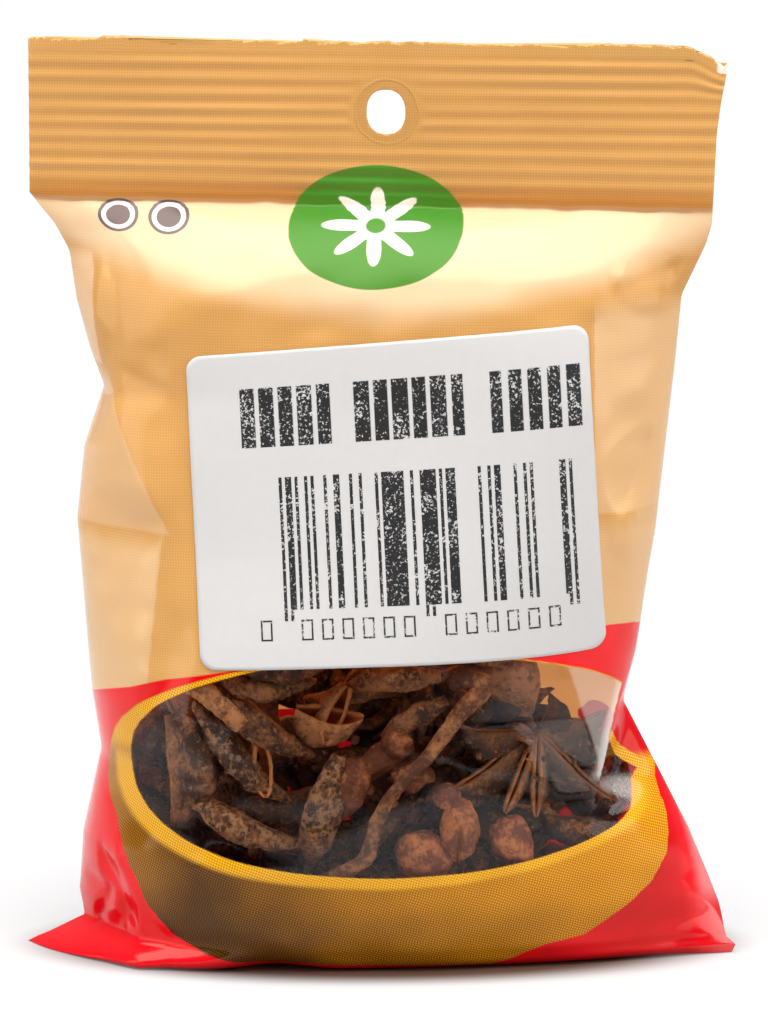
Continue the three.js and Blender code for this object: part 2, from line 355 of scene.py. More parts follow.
def filmPoint(u, height, isFront):
    # x = middle + u * half width; y = -+ bulge * (1 - |u|^power)^roundness, less the fold, plus creases
    f = bagForm
    left, right = along(f["leftSide"], height), along(f["rightSide"], height)
    flatX = (right - left)/2 + u*(left + right)/2
    x = flatX
    power = np.where(u < 0, curve(f["leftFullness"], height), curve(f["rightFullness"], height))
    depth = curve(f["front" if isFront else "back"], height)
    depth = depth * np.clip(1 - np.abs(u)**power, 0, 1)**curve(f["roundness"], height)
    radius = f["bottomEdgeRadius"]
    if isFront:
        fold = f["fold"]
        edge = along(f["foldEdge"], height)
        reach = smooth((height - fold["start"])/(fold["full"] - fold["start"]))
        reach = reach * smooth((fold["end"] - height)/(fold["end"] - fold["fade"]))
        depth = depth * (1 - curve(f["lean"], height)*u)
        depth = depth * (1 - fold["drop"]*reach*smooth((x - edge)/fold["width"]))
        x = x + fold["overhang"]*reach*smooth((x - edge + 6)/6)*(1 - smooth((x - edge)/0.9))
        depth = depth + (creaseDepth(flatX, height)*smooth((footHeight - 1 - height)/5)
                         * smooth((1 - np.abs(u))/0.08))
        radius = radius + f["tuck"]["depth"]*np.exp(-((flatX - f["tuck"]["x"])/f["tuck"]["width"])**2)
    else:
        fin = f["fin"]
        intoFin = np.minimum(u - fin["left"], fin["right"] - u)
        depth = depth + fin["height"]*np.clip(intoFin/fin["slope"], 0, 1)*smooth((footHeight - height)/2)
    rise = np.clip(1 - height/radius, 0, 1)
    depth = depth - radius*(1 - np.sqrt(1 - rise**2))*smooth((1 - np.abs(u))/0.25)
    depth = np.maximum(depth, 0.02)
    seam = curve(f["leftSeamForward"], height)*np.clip(-u, 0, 1)**3
    seam = seam + curve(f["rightSeamForward"], height)*np.clip(u, 0, 1)**3
    y = (-depth if isFront else depth) - seam
    footTilt = 0.011*x*smooth((height - 90)/16)*(1 - smooth((height - 110)/14))
    topTilt = 0.008*(x + 51) - 0.6 + f["cornerDroop"]*smooth((x - 43.5)/5.5)
    return x, y, height - footTilt - topTilt*smooth((height - 122)/(topHeight - 122))
# the film's print, in millimetres: s runs across the flat film from its middle, z runs up it
printLook = {
    "width": 260, "height": 140,  # what the whole print map spans
    "frontMiddle": 0.25, "backMiddle": 0.75,  # where each side's middle lies across it
    # the darker beige is painted shade at the header's foot
    # the pale cream is a painted highlight on the shoulder and the facets
    "beige": (208, 159, 93), "beigePaintedShade": (178, 118, 54), "paintedHighlight": (250, 232, 200),
    # the pale red is a painted highlight
    "red": (250, 10, 30), "redDeep": (226, 5, 22), "redPaintedHighlight": (255, 176, 178),
    "beigeGlow": (255, 172, 92), "redGlow": (186, 12, 22), "goldGlow": (150, 84, 16),
    "goldBright": (255, 198, 42), "goldDeep": (204, 118, 6), "goldShade": (64, 28, 0),
    "green": (4, 132, 34), "cream": (246, 238, 222), "slate": (74, 84, 96), "grey": (90, 90, 94),
    # the pitch of both dot screens and how soft every edge is
    "halftone": 0.56, "weave": 0.54, "soft": 0.12,
    "frontGlow": 0.14, "backGlow": 0.64, "roughness": 0.15, "rippleRelief": 0.16,
    "window": {"s": 4.9, "z": 30.9, "wide": 42.3, "tall": 15.9, "turn": 0.017, "power": 2},
    "rim": {"s": 2.6, "z": 28.8, "wide": 47.2, "tall": 18.4, "below": 15.9, "turn": 0.034, "power": 1.9},
    # from s to height: the bowl's lower edge
    "bowlBottom": [(-60, 34), (-46.2, 33), (-44.5, 27.3), (-40.3, 20.8), (-37.4, 15.4), (-35.5, 12.3),
                   (-33.7, 9.1), (-29.3, 5), (-24.3, 2.8), (-19.5, 1.5), (-12, 1.3), (16.8, 0.6),
                   (19.5, 1.3), (25.3, 3.7), (31.5, 4.8), (38.6, 8.9), (42.4, 11.7), (45.5, 15.6),
                   (46.4, 18.6), (46.8, 23.2), (48.8, 26.6), (50, 34), (60, 34)],
    "band": {"s": 3.8, "z": 30.6, "wide": 45.4, "tall": 17.1, "turn": 0.02, "power": 1.95},
    "redTop": [(-60, 36), (-48, 38.1), (-36.3, 40.7), (-29.9, 42.4), (0, 48), (36, 49.6),
               (41.8, 49.1), (60, 46)],
    # from (s, z) to (s, z), the heights between which the film beside that line is painted pale as a
    # highlight, how pale
    "highlightFacets": [((-41.9, 86.6), (-29.8, 64.5), 62.6, 86.6, 0.2),
               ((-29.8, 64.5), (-33, 38), 36, 63.2, 0.24), ((-42.5, 106), (-42.5, 84), 85.5, 104, 0.35),
               ((33.5, 50), (31.5, 66), 48, 66.5, 0.2),
               ((31.5, 66), (31, 95), 65.7, 97, 0.22), ((39.5, 60), (38.4, 80), 56, 98, 0.14)],
    # from s to height: where the painted highlight on the shoulder begins
    "paintedHighlightFrom": [(-60, 104), (-46, 101), (-41, 99.5), (-8, 94), (3, 92.6), (34, 98.5), (44, 103),
                 (60, 106)],
    # across s, how dark the bowl is: partly its printed shading, partly painted shade
    "bowlShade": [(-45, 0.5), (-36, 0.75), (-25, 0.9), (-8, 0.72), (4, 0.42), (20, 0.2), (40, 0.04),
                  (50, 0)],
    "badge": {"s": -0.6, "z": 106.1, "wide": 12.5, "tall": 8.3, "petals": 8},
    "marks": [(-38.1, 106.7), (-30.6, 106.6)], "markWide": 3.0, "markTall": 2.3,
    "panel": {"left": -26, "right": 22.4, "low": 32.6, "high": 84, "row": 3.4,
              "barMost": 20.0, "barSpread": 9},
    # the folded film at the window's right, from height to s, and the sunken rim past it
    "sunkRim": 32.7, "rimFall": 0.6, "rimThick": 1.8,
    "flapInner": [(20, 33.9), (30.3, 33.8), (34.2, 33), (45, 28.6), (52, 26)],
    "flapEdge": [(20, 34), (27.5, 34.4), (33.5, 36.8), (37.4, 39.8), (41.6, 40.9), (52, 42)],
    "backRed": 30.4, "backSpot": {"s": 33, "z": 30.6, "wide": 4.2, "tall": 4.0, "turn": 0, "power": 2},
}


def ovalReach(s, z, oval, tallBelow=None):
    # 1 on the oval's edge, less inside: (|along|/wide)^power + (|up|/tall)^power
    c, w = math.cos(oval["turn"]), math.sin(oval["turn"])
    ds, dz = s - oval["s"], z - oval["z"]
    sideways, up = ds*c + dz*w, dz*c - ds*w
    tall = oval["tall"]
    if tallBelow:
        tall = up.rise(-0.5, 0.5)*(oval["tall"] - tallBelow) + tallBelow
    return abs(sideways/oval["wide"])**oval["power"] + abs(up/tall)**oval["power"]


def dots(s, z, pitch, turn):
    # a screen of round dots: the product of two waves, -1 to 1
    c, w = math.cos(turn)*2*math.pi/pitch, math.sin(turn)*2*math.pi/pitch
    return (s*c + z*w).sine() * (z*c - s*w).sine()


inks = {name: linear(*value) for name, value in printLook.items() if isinstance(value, tuple)}


def beyondFold(s, z):
    # 1 past the fold at the window's right, where the rim lies lower, and the height above that rim
    past = (s - z.curve(printLook["flapEdge"])).rise(0.2, 0.5)
    return past, z + (s - 36.8)*printLook["rimFall"] - printLook["sunkRim"]


def windowMask(s, z):
    soft = printLook["soft"]
    past, over = beyondFold(s, z)
    inside = ovalReach(s, z, printLook["window"]).rise(1 + soft/8, 1 - soft/8)
    return inside * (1 - past*over.rise(-soft, soft))


def goldMasks(s, z):
    # the bowl with its rim, and the bright band along it
    look, soft = printLook, printLook["soft"]
    past, over = beyondFold(s, z)
    rim = ovalReach(s, z, look["rim"], look["rim"]["below"]).rise(1 + soft/8, 1 - soft/8)
    rim = rim * (1 - past*(over - look["rimThick"]).rise(-soft, soft))
    band = ovalReach(s, z, look["band"]).rise(1.07, 0.97) * z.rise(33, 29)
    bowl = (z - s.curve(look["bowlBottom"])).rise(-soft, soft) * z.rise(30, 28)
    return rim.most(bowl), band.most(rim * z.rise(29, 33))


def beigeInk(sheet, s, z, uneven):
    # a fine screen of dots; painted shade makes it darker at the header's foot and a little darker high
    # on the body
    foot = z.rise(113, 109.2) * z.rise(108.2, 108.7)
    fine = dots(s, z, printLook["halftone"], 0.785)
    strength = 1 + fine*0.11 + (uneven - 0.5)*0.12 - z.rise(76, 88)*z.rise(107, 104)*0.08
    return sheet.blend(inks["beige"], inks["beigePaintedShade"], foot*0.85).tint(strength)


def paintedHighlightShare(s, z, uneven):
    # painted highlight: pale where light comes through the empty shoulder of the bag and glances off the
    # facets beside the label
    aboveFill = z - s.curve(printLook["paintedHighlightFrom"]) + (uneven - 0.5)*5
    share = aboveFill.rise(-1.5, 4.5) * z.rise(109.5, 107.8) * 0.5
    for (s0, z0), (s1, z1), low, high, most in printLook["highlightFacets"]:
        beyond = (s - s0)*(z1 - z0) - (z - z0)*(s1 - s0)
        share = share.most(beyond.rise(0, 12.0) * z.rise(low, low + 0.8) * z.rise(high, high - 4) * most)
    return share


def goldInk(sheet, s, z, uneven, band):
    # a woven screen, darkest low on the left and bright towards the right: partly the printed bowl's own
    # shading, partly painted shade where the film turns down and to the left and towards the bottom edge
    weave = dots(s, z, printLook["weave"], 0.45)
    shade = s.curve(printLook["bowlShade"]) + z.rise(14, 4)*0.2 + (uneven - 0.5)*0.6
    shade = shade.least(1.0).most(0.0)
    body = sheet.blend(inks["goldDeep"], inks["goldShade"], shade)
    lit = body.mix(inks["goldBright"], weave.rise(-0.15, 0.75)*(1 - shade*0.9))
    return lit.mix(sheet.blend(inks["goldDeep"], inks["goldBright"], weave.rise(-0.8, 0.5)), band*0.85)


def addBadge(sheet, ink, s, z):
    # a green oval with a pale rosette of eight petals; also returns the oval's mask
    badge = printLook["badge"]
    across, up = (s - badge["s"])/badge["wide"], (z - badge["z"])/badge["tall"]
    reach = (across*across + up*up)**0.5
    onBadge = reach.rise(1.01, 0.99)
    angle = sheet.maths("ARCTAN2", up, across)
    petals = sheet.maths("COSINE", angle*badge["petals"])*0.2 + 0.42
    rosette = (reach - petals).rise(0.02, -0.02) * reach.rise(0.1, 0.13)
    return ink.mix(inks["green"], onBadge).mix(inks["cream"], onBadge*rosette), onBadge


def addMarks(ink, s, z):
    # two small grey rings with grey middles
    for centre, up in printLook["marks"]:
        a, b = (s - centre)/printLook["markWide"], (z - up)/printLook["markTall"]
        reach = (a*a + b*b)**0.5
        ring = abs(reach - 0.92).rise(0.1, 0.07).most(reach.rise(0.62, 0.58))
        ink = ink.mix(inks["cream"], reach.rise(1.02, 0.98)).mix(inks["grey"], ring)
    return ink


def addPanel(ink, s, z):
    # a cream panel with slate bars of random length, one a row
    panel, soft = printLook["panel"], printLook["soft"]
    inside = (s.rise(panel["left"], panel["left"] + soft) * s.rise(panel["right"] + soft, panel["right"])
              * z.rise(panel["low"], panel["low"] + soft) * z.rise(panel["high"] + soft, panel["high"]))
    row = (z - panel["low"])/panel["row"]
    fromMiddle = abs(s - (panel["left"] + panel["right"])/2)
    bar = abs(row.fraction() - 0.5).rise(0.3, 0.24)
    bar = bar * (fromMiddle - panel["barMost"] + row.whole().chance()*panel["barSpread"]).rise(0.1, -0.1)
    return ink.mix(inks["cream"], inside).mix(inks["slate"], inside*bar)


def printedFilm(sheet, ink, glow, glowShare, roughness, relief, s, z):
    # the side walls are the shiniest
    sheen = (s.rise(47, 54)*z.rise(32, 24)).most(s.rise(-44, -53)*0.2)
    solid = sheet.node("BsdfPrincipled", {}, {
        "Base Color": ink, "Roughness": roughness, "Normal": sheet.bump(relief, 0.5), "IOR": 1.45,
        "Specular Tint": (1.0, 0.8, 0.64, 1),
        "Coat Weight": sheen, "Coat IOR": 1.8, "Coat Roughness": 0.1})
    return sheet.layers(glowShare, solid, glow)


def filmGlow(sheet, red, gold=None):
    # what shines through the print from behind
    def through(name):
        return sheet.node("BsdfTranslucent", {}, {"Color": inks[name]})

    glow = sheet.layers(red, through("beigeGlow"), through("redGlow"))
    return sheet.layers(gold, glow, through("goldGlow")) if gold else glow


def frontFilm(sheet, s, z, uneven, ripples):
    look, soft = printLook, printLook["soft"]
    gold, band = goldMasks(s, z)
    red = (z - s.curve(look["redTop"])).rise(soft, -soft)
    redInk = sheet.blend(inks["red"], inks["redDeep"], uneven.rise(0.3, 0.7))
    # painted shade: the red is darker past the fold at the window's right
    redInk = redInk.tint(1 - s.rise(28, 40)*s.rise(50, 47)*z.rise(40, 30)*0.22)
    # painted highlight: a pale red stripe along the right side wall
    redInk = redInk.mix(inks["redPaintedHighlight"], s.rise(49.5, 52.5)*z.rise(6, 10)*z.rise(30, 24)*0.5)
    # the shoulder and the facets take a painted highlight
    ink = beigeInk(sheet, s, z, uneven).mix(inks["paintedHighlight"], paintedHighlightShare(s, z, uneven))
    ink = ink.mix(redInk, red).mix(goldInk(sheet, s, z, uneven, band), gold)
    ink, onBadge = addBadge(sheet, ink, s, z)
    ink = addMarks(ink, s, z)
    torn = s.rise(47.4, 47.9) * (z - 129.7 - (s - 47)*0.1).rise(0, 0.2)
    ringReach = ((s - hole["x"])*(s - hole["x"]) + (z - hole["z"])*(z - hole["z"]))**0.5
    ink = ink.mix(inks["cream"], torn).tint(1 - ringReach.rise(4.8, 4.5)*0.08)
    relief = ripples*look["rippleRelief"] + abs(ringReach - 4.55).rise(0.3, 0)*0.12
    roughness = look["roughness"] + (uneven - 0.5)*0.06 + onBadge*0.25
    glow = filmGlow(sheet, red, gold)
    return printedFilm(sheet, ink, glow, look["frontGlow"], roughness, relief, s, z)


def backFilm(sheet, s, z, uneven, ripples):
    look, soft = printLook, printLook["soft"]
    red = z.rise(look["backRed"] + soft, look["backRed"] - soft)
    red = red.most(ovalReach(s, z, look["backSpot"]).rise(1.05, 0.95))
    ink = addPanel(beigeInk(sheet, s, z, uneven).mix(inks["redDeep"], red), s, z)
    glow, relief = filmGlow(sheet, red), ripples*look["rippleRelief"]
    return printedFilm(sheet, ink, glow, look["backGlow"], look["roughness"], relief, s, z)


def clearFilm(sheet, s, z):
    calm = sheet.bump(sheet.noise(120.0, 1.0), 0.1)
    gloss = sheet.node("BsdfGlossy", {}, {"Roughness": 0.05, "Normal": calm})
    through = sheet.node("BsdfTransparent", {}, {"Color": (0.97, 0.96, 0.95, 1)})
    shine = sheet.node("Fresnel", {}, {"IOR": 1.5})
    clear = sheet.layers(shine*0.7, through, gloss)
    # painted reflection: pale where it is folded over itself on the right, with a brighter painted
    # highlight at the fold's kink
    fold = s - z.curve(printLook["flapEdge"])
    flap = (s - z.curve(printLook["flapInner"])).rise(-0.4, 0.6)*0.2 + fold.rise(-2.4, -0.2)*0.35
    flap = flap * fold.rise(0.5, 0) * z.rise(26.8, 28.6)
    spread = s - printLook["flapInner"][0][1]
    kinkHighlight = (abs(z - 27.3 + spread*0.3) - spread*0.22).rise(0.6, -1.0) * spread.rise(0, 1.2)
    paintedReflection = sheet.node("BsdfDiffuse", {}, {"Color": linear(240, 232, 226)})
    return sheet.layers(flap.most(kinkHighlight*0.26), clear, paintedReflection)


def makeFilmMaterial(kind):
    # kind is front, back or clear, or edge for the faces that the window's edge crosses
    material, sheet = newMaterial(kind + " film")
    middle = printLook["backMiddle" if kind == "back" else "frontMiddle"]
    s = (sheet.printPlace(0) - middle) * printLook["width"]
    z = sheet.printPlace(1) * printLook["height"]
    if kind == "clear":
        surface = clearFilm(sheet, s, z)
    else:
        printed = backFilm if kind == "back" else frontFilm
        surface = printed(sheet, s, z, sheet.noise(60.0), sheet.noise(220.0, 1.0))
    if kind == "edge":
        surface = sheet.layers(windowMask(s, z), surface, clearFilm(sheet, s, z))
    finishMaterial(sheet, surface)
    return material


# the film: a closed tube of front and back columns, on rows of one height each
filmGrid = {
    "frontColumns": 286, "backColumns": 132, "rows": 214,
    "headerBoost": 1.5, "holeBoost": 1.6, "holeReach": 7, "halfWidth": 49,
    # how high the small waves, the broad dents and the nicks of the top edge are
    "ripple": 0.16, "dents": 0.34, "teeth": 0.22,
}


def spreadShares(count, density):
    # count places from -1 to 1, closer together where the density is higher
    t = np.linspace(-1, 1, 4001)
    total = np.concatenate([[0], np.cumsum((density(t[1:]) + density(t[:-1]))/2)])
    return np.interp(np.linspace(0, total[-1], count), total, t)


def makeRows():
    # closest at the bottom edge, on the header and at its foot
    def density(t):
        z = (t + 1)/2 * topHeight
        edge = 2.2*np.exp(-z/2.5) + filmGrid["headerBoost"]*smooth((z - 107)/2)
        foot = 1.5*np.exp(-((z - footHeight)/1.2)**2)
        return 1 + edge + foot
    return (spreadShares(filmGrid["rows"], density) + 1)/2 * topHeight


def makeShares(count, withHole):
    # closest at both sides, and round the hole where there is one
    g = filmGrid
    boost = g["holeBoost"] if withHole else 0

    def density(u):
        fromHole = (u*g["halfWidth"] - hole["x"])/g["holeReach"]
        return 1/np.sqrt(1.004 - u**2) + boost*np.exp(-fromHole**2)
    return spreadShares(count, density)


def filmSurface(u, height, isFront):
    # the bag's form with what thin film adds: header ribs, a flattened ring round the hole, soft waves,
    # broad dents and a nicked top edge
    x, y, z = filmPoint(u, height, isFront)
    g, ribs = filmGrid, bagForm["ribs"]
    outward = -1 if isFront else 1
    side = 0 if isFront else 50
    flat = np.stack([x, z + side*3], -1)
    onBody = smooth((footHeight - 1.5 - height)/6) * smooth((1 - np.abs(u))/0.1) * smooth(height/3)
    if isFront:
        # the contents press the window nearly smooth
        reach = ((x - 3)/40)**2 + ((height - 31)/16)**2
        onBody = onBody * (1 - labelCover(x, height)) * (1 - 0.75*smooth((1.3 - reach)/0.5))
    else:
        onBody = onBody * 0.8
    wave = g["ripple"]*waves(11 + side, flat, 9) + g["dents"]*waves(12 + side, flat*[1, 0.6], 26)
    y = y + outward*wave*onBody
    # ribs run across the header and fade round the hole
    onHeader = smooth((height - ribs["start"])/0.8) * smooth((ribs["end"] - height)/0.8)
    fromHole = np.hypot(x - hole["x"], z - hole["z"])
    onHeader = onHeader * smooth((fromHole - hole["ring"])/1.2)
    uneven = 0.9 + 0.45*waves(13, np.stack([x*0.09, z], -1), 5)
    y = y - ribs["height"]*np.cos(2*np.pi*(height - ribs["start"])/ribs["pitch"])*onHeader*uneven
    y = y + 0.35*waves(14, np.stack([x, z*0.4], -1), 34)*smooth((height - footHeight)/8)
    tooth = waves(15, np.stack([x, x*0], -1), 2.2, 20, 0.6) + 0.5*waves(16, np.stack([x, x*0], -1), 9)
    z = z + g["teeth"]*tooth*smooth((height - topHeight + 1.5)/1.5)
    bump = 0.08*waves(17, np.stack([x, x*0], -1), 9)
    z = z + bump*np.exp(-((height - footHeight)/2)**2)
    return x, y, z


def flatAcross(x, y):
    # how far each point is from the middle, measured along the film of its own row
    step = np.hypot(np.diff(x, axis=1), np.diff(y, axis=1))
    along = np.concatenate([np.zeros((len(x), 1)), np.cumsum(step, 1)], 1)
    middle = np.argmax(x > 0, axis=1)
    return along - along[np.arange(len(x)), middle][:, None]


filmKinds = ("front", "back", "clear", "edge")


def kindOfFaces(corners):
    # for each face the number of its material in filmKinds
    s = (corners[..., 0] - printLook["frontMiddle"])*printLook["width"]
    z = corners[..., 1]*printLook["height"]
    reach = ovalReach(s, z, printLook["window"])
    inside = (reach.max(1) < 0.92) & (s.max(1) < 36)
    front = np.where(reach.min(1) > 1.1, 0, np.where(inside, 2, 3))
    return np.where(corners[:, 0, 0] > 0.5, 1, front)


def makeFilm(materials):
    # both sides as grids of shares across and heights, joined into one tube; the print map goes by
    # the distance along the smooth film, so that waves and ribs don't bend the print
    look = printLook
    heights = makeRows()
    frontU = makeShares(filmGrid["frontColumns"], True)
    backU = makeShares(filmGrid["backColumns"], False)
    sheets, maps = [], []
    for u, isFront, centre in ((frontU, True, look["frontMiddle"]), (backU, False, look["backMiddle"])):
        uu, hh = np.meshgrid(u, heights)
        x, y, z = filmSurface(uu, hh, isFront)
        smoothX, smoothY, _ = filmPoint(uu, hh, isFront)
        s = flatAcross(smoothX, smoothY)
        sheets.append(np.stack([x, y, z], -1))
        maps.append(np.stack([centre + s/look["width"], hh/look["height"]], -1))
    front, back = sheets
    nf, nb = len(frontU), len(backU)
    rings = np.concatenate([front, back[:, -2:0:-1]], 1)
    columns = rings.shape[1]
    points, quads, tris = closedTube(rings)
    # every corner takes the map of the sheet that its face is on
    column = np.arange(columns)
    onFront = column < nf - 1
    nextColumn = (column + 1) % columns
    corner = []
    i = np.arange(len(heights) - 1)[:, None]
    for up, c in ((0, column), (0, nextColumn), (1, nextColumn), (1, column)):
        backColumn = np.where(c == 0, 0, np.clip(nb + nf - 2 - c, 0, nb - 1))
        onIt = maps[0][i + up, np.clip(c, 0, nf - 1)[None]]
        offIt = maps[1][i + up, backColumn[None]]
        corner.append(np.where(onFront[None, :, None], onIt, offIt))
    quadMap = np.stack(corner, 2).reshape(-1, 2)
    endMap = np.zeros((len(tris)*3, 2)) + [look["frontMiddle"], 0.0]
    endMap[len(tris)*3//2:] = [look["frontMiddle"], topHeight/look["height"]]
    film = addPiece("bagFilm", points, quads, tris, materials[0], uv=np.concatenate([quadMap, endMap]))
    for material in materials[1:]:
        film.data.materials.append(material)
    kinds = np.concatenate([kindOfFaces(quadMap.reshape(-1, 4, 2)), np.zeros(len(tris), int)])
    film.data.polygons.foreach_set("material_index", kinds.astype(np.int32))
    punchHole(film, materials[0])
    return film


def punchHole(film, material):
    # the plug: a rounded oval drawn through the header, whose walls take the beige of the print there
    angle = np.linspace(0, 2*np.pi, 72, endpoint=False)
    power = 2/hole["power"]
    x = hole["x"] + hole["width"]/2*np.sign(np.cos(angle))*np.abs(np.cos(angle))**power
    z = hole["z"] + hole["height"]/2*np.sign(np.sin(angle))*np.abs(np.sin(angle))**power
    rings = np.stack([np.stack([x, np.full_like(x, y), z], -1) for y in (-4, 0, 4)])
    points, quads, tris = closedTube(rings)
    quads, tris = facingOut(points, quads, tris)
    spot = [printLook["frontMiddle"] + 6/printLook["width"], hole["z"]/printLook["height"]]
    uv = np.zeros((quads.size + tris.size, 2)) + spot
    plug = addPiece("holePlug", points, quads, tris, material, uv=uv)
    cut = film.modifiers.new("hole", "BOOLEAN")
    cut.operation, cut.object, cut.solver = "DIFFERENCE", plug, "MANIFOLD"
    bpy.context.view_layer.update()
    ready = film.evaluated_get(bpy.context.evaluated_depsgraph_get())
    finished = bpy.data.meshes.new_from_object(ready)
    film.modifiers.clear()
    film.data = finished
    bpy.data.objects.remove(plug)


bagFilm = makeFilm([makeFilmMaterial(kind) for kind in filmKinds])
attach(bagFilm, "root")
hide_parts("pack")
print("film", len(bagFilm.data.polygons), "faces")


# the paper label: rings of its outline drawn in to the middle, laid on the film; lengths across and
# up from its middle
labelLook = {
    "thick": 0.16, "lift": 0.06, "flare": 0.0011, "rings": 46, "edgeSteps": 46, "cornerSteps": 8,
    "paper": (197, 194, 192), "ink": (24, 23, 24), "soft": 0.05,
    "words": {"left": -21.4, "low": 9.0, "high": 17.5, "pitch": 2.72, "blocks": 18, "gaps": (5, 12)},
    "bars": {"left": -16.1, "right": 25.4, "low": -14.2, "high": 4.6, "module": 0.456, "guard": 1.6},
    "figures": {"left": -20.2, "right": 23.3, "low": -18.6, "high": -15.6, "pitch": 2.9, "halfWide": 0.85,
                "gaps": (1, 8)},
}


def labelOutline():
    # a rounded rectangle, corner by corner, as distances from its middle
    f, n = labelForm, labelLook["edgeSteps"]
    w, h, r = f["width"]/2 - f["corner"], f["height"]/2 - f["corner"], f["corner"]
    pieces = []
    centres = [(w, h), (-w, h), (-w, -h), (w, -h)]
    for quarter, (cw, ch) in enumerate(centres):
        turn = np.pi/2*(quarter + np.linspace(0, 1, labelLook["cornerSteps"] + 1))
        arc = np.stack([cw + r*np.cos(turn), ch + r*np.sin(turn)], -1)
        nw, nh = centres[(quarter + 1) % 4]
        share = np.linspace(0, 1, n + 1)[1:-1, None]
        straight = arc[-1] + share*(np.array([nw, nh]) - [cw, ch])
        pieces += [arc, straight]
    return np.concatenate(pieces)


def labelPoint(across, up, lift):
    # the film's own surface where the turned label lies, plus the lift and a soft lift of its edge
    c, w = math.cos(labelForm["turn"]), math.sin(labelForm["turn"])
    up = up*(1 + labelLook["flare"]*across)
    x = labelForm["x"] + across*c - up*w
    z = labelForm["z"] + across*w + up*c
    left, right = along(bagForm["leftSide"], z), along(bagForm["rightSide"], z)
    u = (x - (right - left)/2) / ((left + right)/2)
    x, y, z = filmSurface(u, z, True)
    edge = 0.05*waves(31, np.stack([across, up], -1), 14)
    return np.stack([x, y - lift - np.maximum(edge, 0)*0.6, z], -1)


def makeLabel(material):
    # the outline shrunk to the middle in rings, once for the face and once for the underside
    share = np.linspace(1, 0.012, labelLook["rings"])[:, None, None]
    flat = labelOutline()[None]*share
    front = labelPoint(flat[..., 0], flat[..., 1], labelLook["lift"] + labelLook["thick"])
    back = labelPoint(flat[..., 0], flat[..., 1], labelLook["lift"])
    rings = np.concatenate([front[::-1], back])
    places = np.concatenate([flat[::-1], flat]).reshape(-1, 2)
    places = np.concatenate([places, [[0, 0], [0, 0]]])
    points, quads, tris = closedTube(rings)
    quads, tris = facingOut(points, quads, tris)
    corners = np.concatenate([quads.ravel(), tris.ravel()])
    uv = places[corners]/printLook["width"] + 0.5
    return addPiece("paperLabel", points, quads, tris, material, uv=uv)


def leaveOut(mask, cell, gaps):
    # the mask without some of its numbered cells
    for gap in gaps:
        mask = mask * abs(cell - gap).rise(0.3, 0.6)
    return mask


def between(value, low, high, soft):
    return (value - low).rise(-soft, soft) * (value - high).rise(soft, -soft)


def wordBlocks(s, t, soft):
    # a row of plain blocks in three groups
    words = labelLook["words"]
    step = (s - words["left"])/words["pitch"]
    cell = step.whole()
    block = (abs(step.fraction() - 0.5) - 0.3 - (cell + 7).chance()*0.14).rise(soft/2, -soft/2)
    block = block * (cell + 0.5).rise(0, 0.1) * (cell + 0.5 - words["blocks"]).rise(0, -0.1)
    return leaveOut(block, cell, words["gaps"]) * between(t, words["low"], words["high"], soft)


def barRow(s, t, soft):
    # bars of random modules, with longer ones at both ends and in the middle
    bars = labelLook["bars"]
    cell = ((s - bars["left"])/bars["module"]).whole()
    count = round((bars["right"] - bars["left"])/bars["module"])
    dark = (cell + 40).chance().rise(0.5, 0.52)
    guards = 0.0
    for index in (0, 2, count//2 - 1, count//2 + 1, count - 3, count - 1):
        guards = abs(cell - index).rise(0.4, 0.2) + guards
    inside = (cell + 0.5).rise(0, 0.1) * (cell + 0.5 - count).rise(0, -0.1)
    return dark.most(guards) * inside * between(t, bars["low"] - guards*bars["guard"], bars["high"], soft)


def figureBoxes(s, t):
    # a row of small open boxes under the bars
    figures = labelLook["figures"]
    step = (s - figures["left"])/figures["pitch"]
    cell = step.whole()
    middle = (figures["low"] + figures["high"])/2
    tall = (figures["high"] - figures["low"])/2
    reach = abs(step.fraction() - 0.5)*figures["pitch"] + (tall - figures["halfWide"])
    reach = reach.most(abs(t - middle))
    box = leaveOut(abs(reach - tall + 0.15).rise(0.16, 0.1), cell, figures["gaps"])
    return box * (cell + 0.5).rise(0, 0.1) * (s - figures["right"]).rise(0, -0.1)


def makeLabelMaterial():
    look = labelLook
    material, sheet = newMaterial("label paper")
    s = (sheet.printPlace(0) - 0.5) * printLook["width"]
    t = (sheet.printPlace(1) - 0.5) * printLook["width"]
    soft = look["soft"]
    # worn thermal print
    speck = sheet.noise(2600.0, 2.0, 0.7)
    patch = sheet.noise(260.0, 3.0)
    worn = (speck + (patch - 0.5)*0.35).rise(0.63, 0.57)
    mask = wordBlocks(s, t, soft).most(barRow(s, t, soft)).most(figureBoxes(s, t)) * worn
    grain = sheet.noise(900.0, 4.0)
    base = sheet.blend(linear(*look["paper"]), linear(*look["ink"]), mask).tint(0.97 + grain*0.06)
    normal = sheet.bump(grain*0.02 + patch*0.05, 0.4)
    finishMaterial(sheet, sheet.node("BsdfPrincipled", {}, {
        "Base Color": base, "Roughness": 0.5 + grain*0.1, "Normal": normal, "IOR": 1.45}))
    return material


paperLabel = makeLabel(makeLabelMaterial())
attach(paperLabel, "root")
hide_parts("label")
print("label", len(paperLabel.data.polygons), "faces")


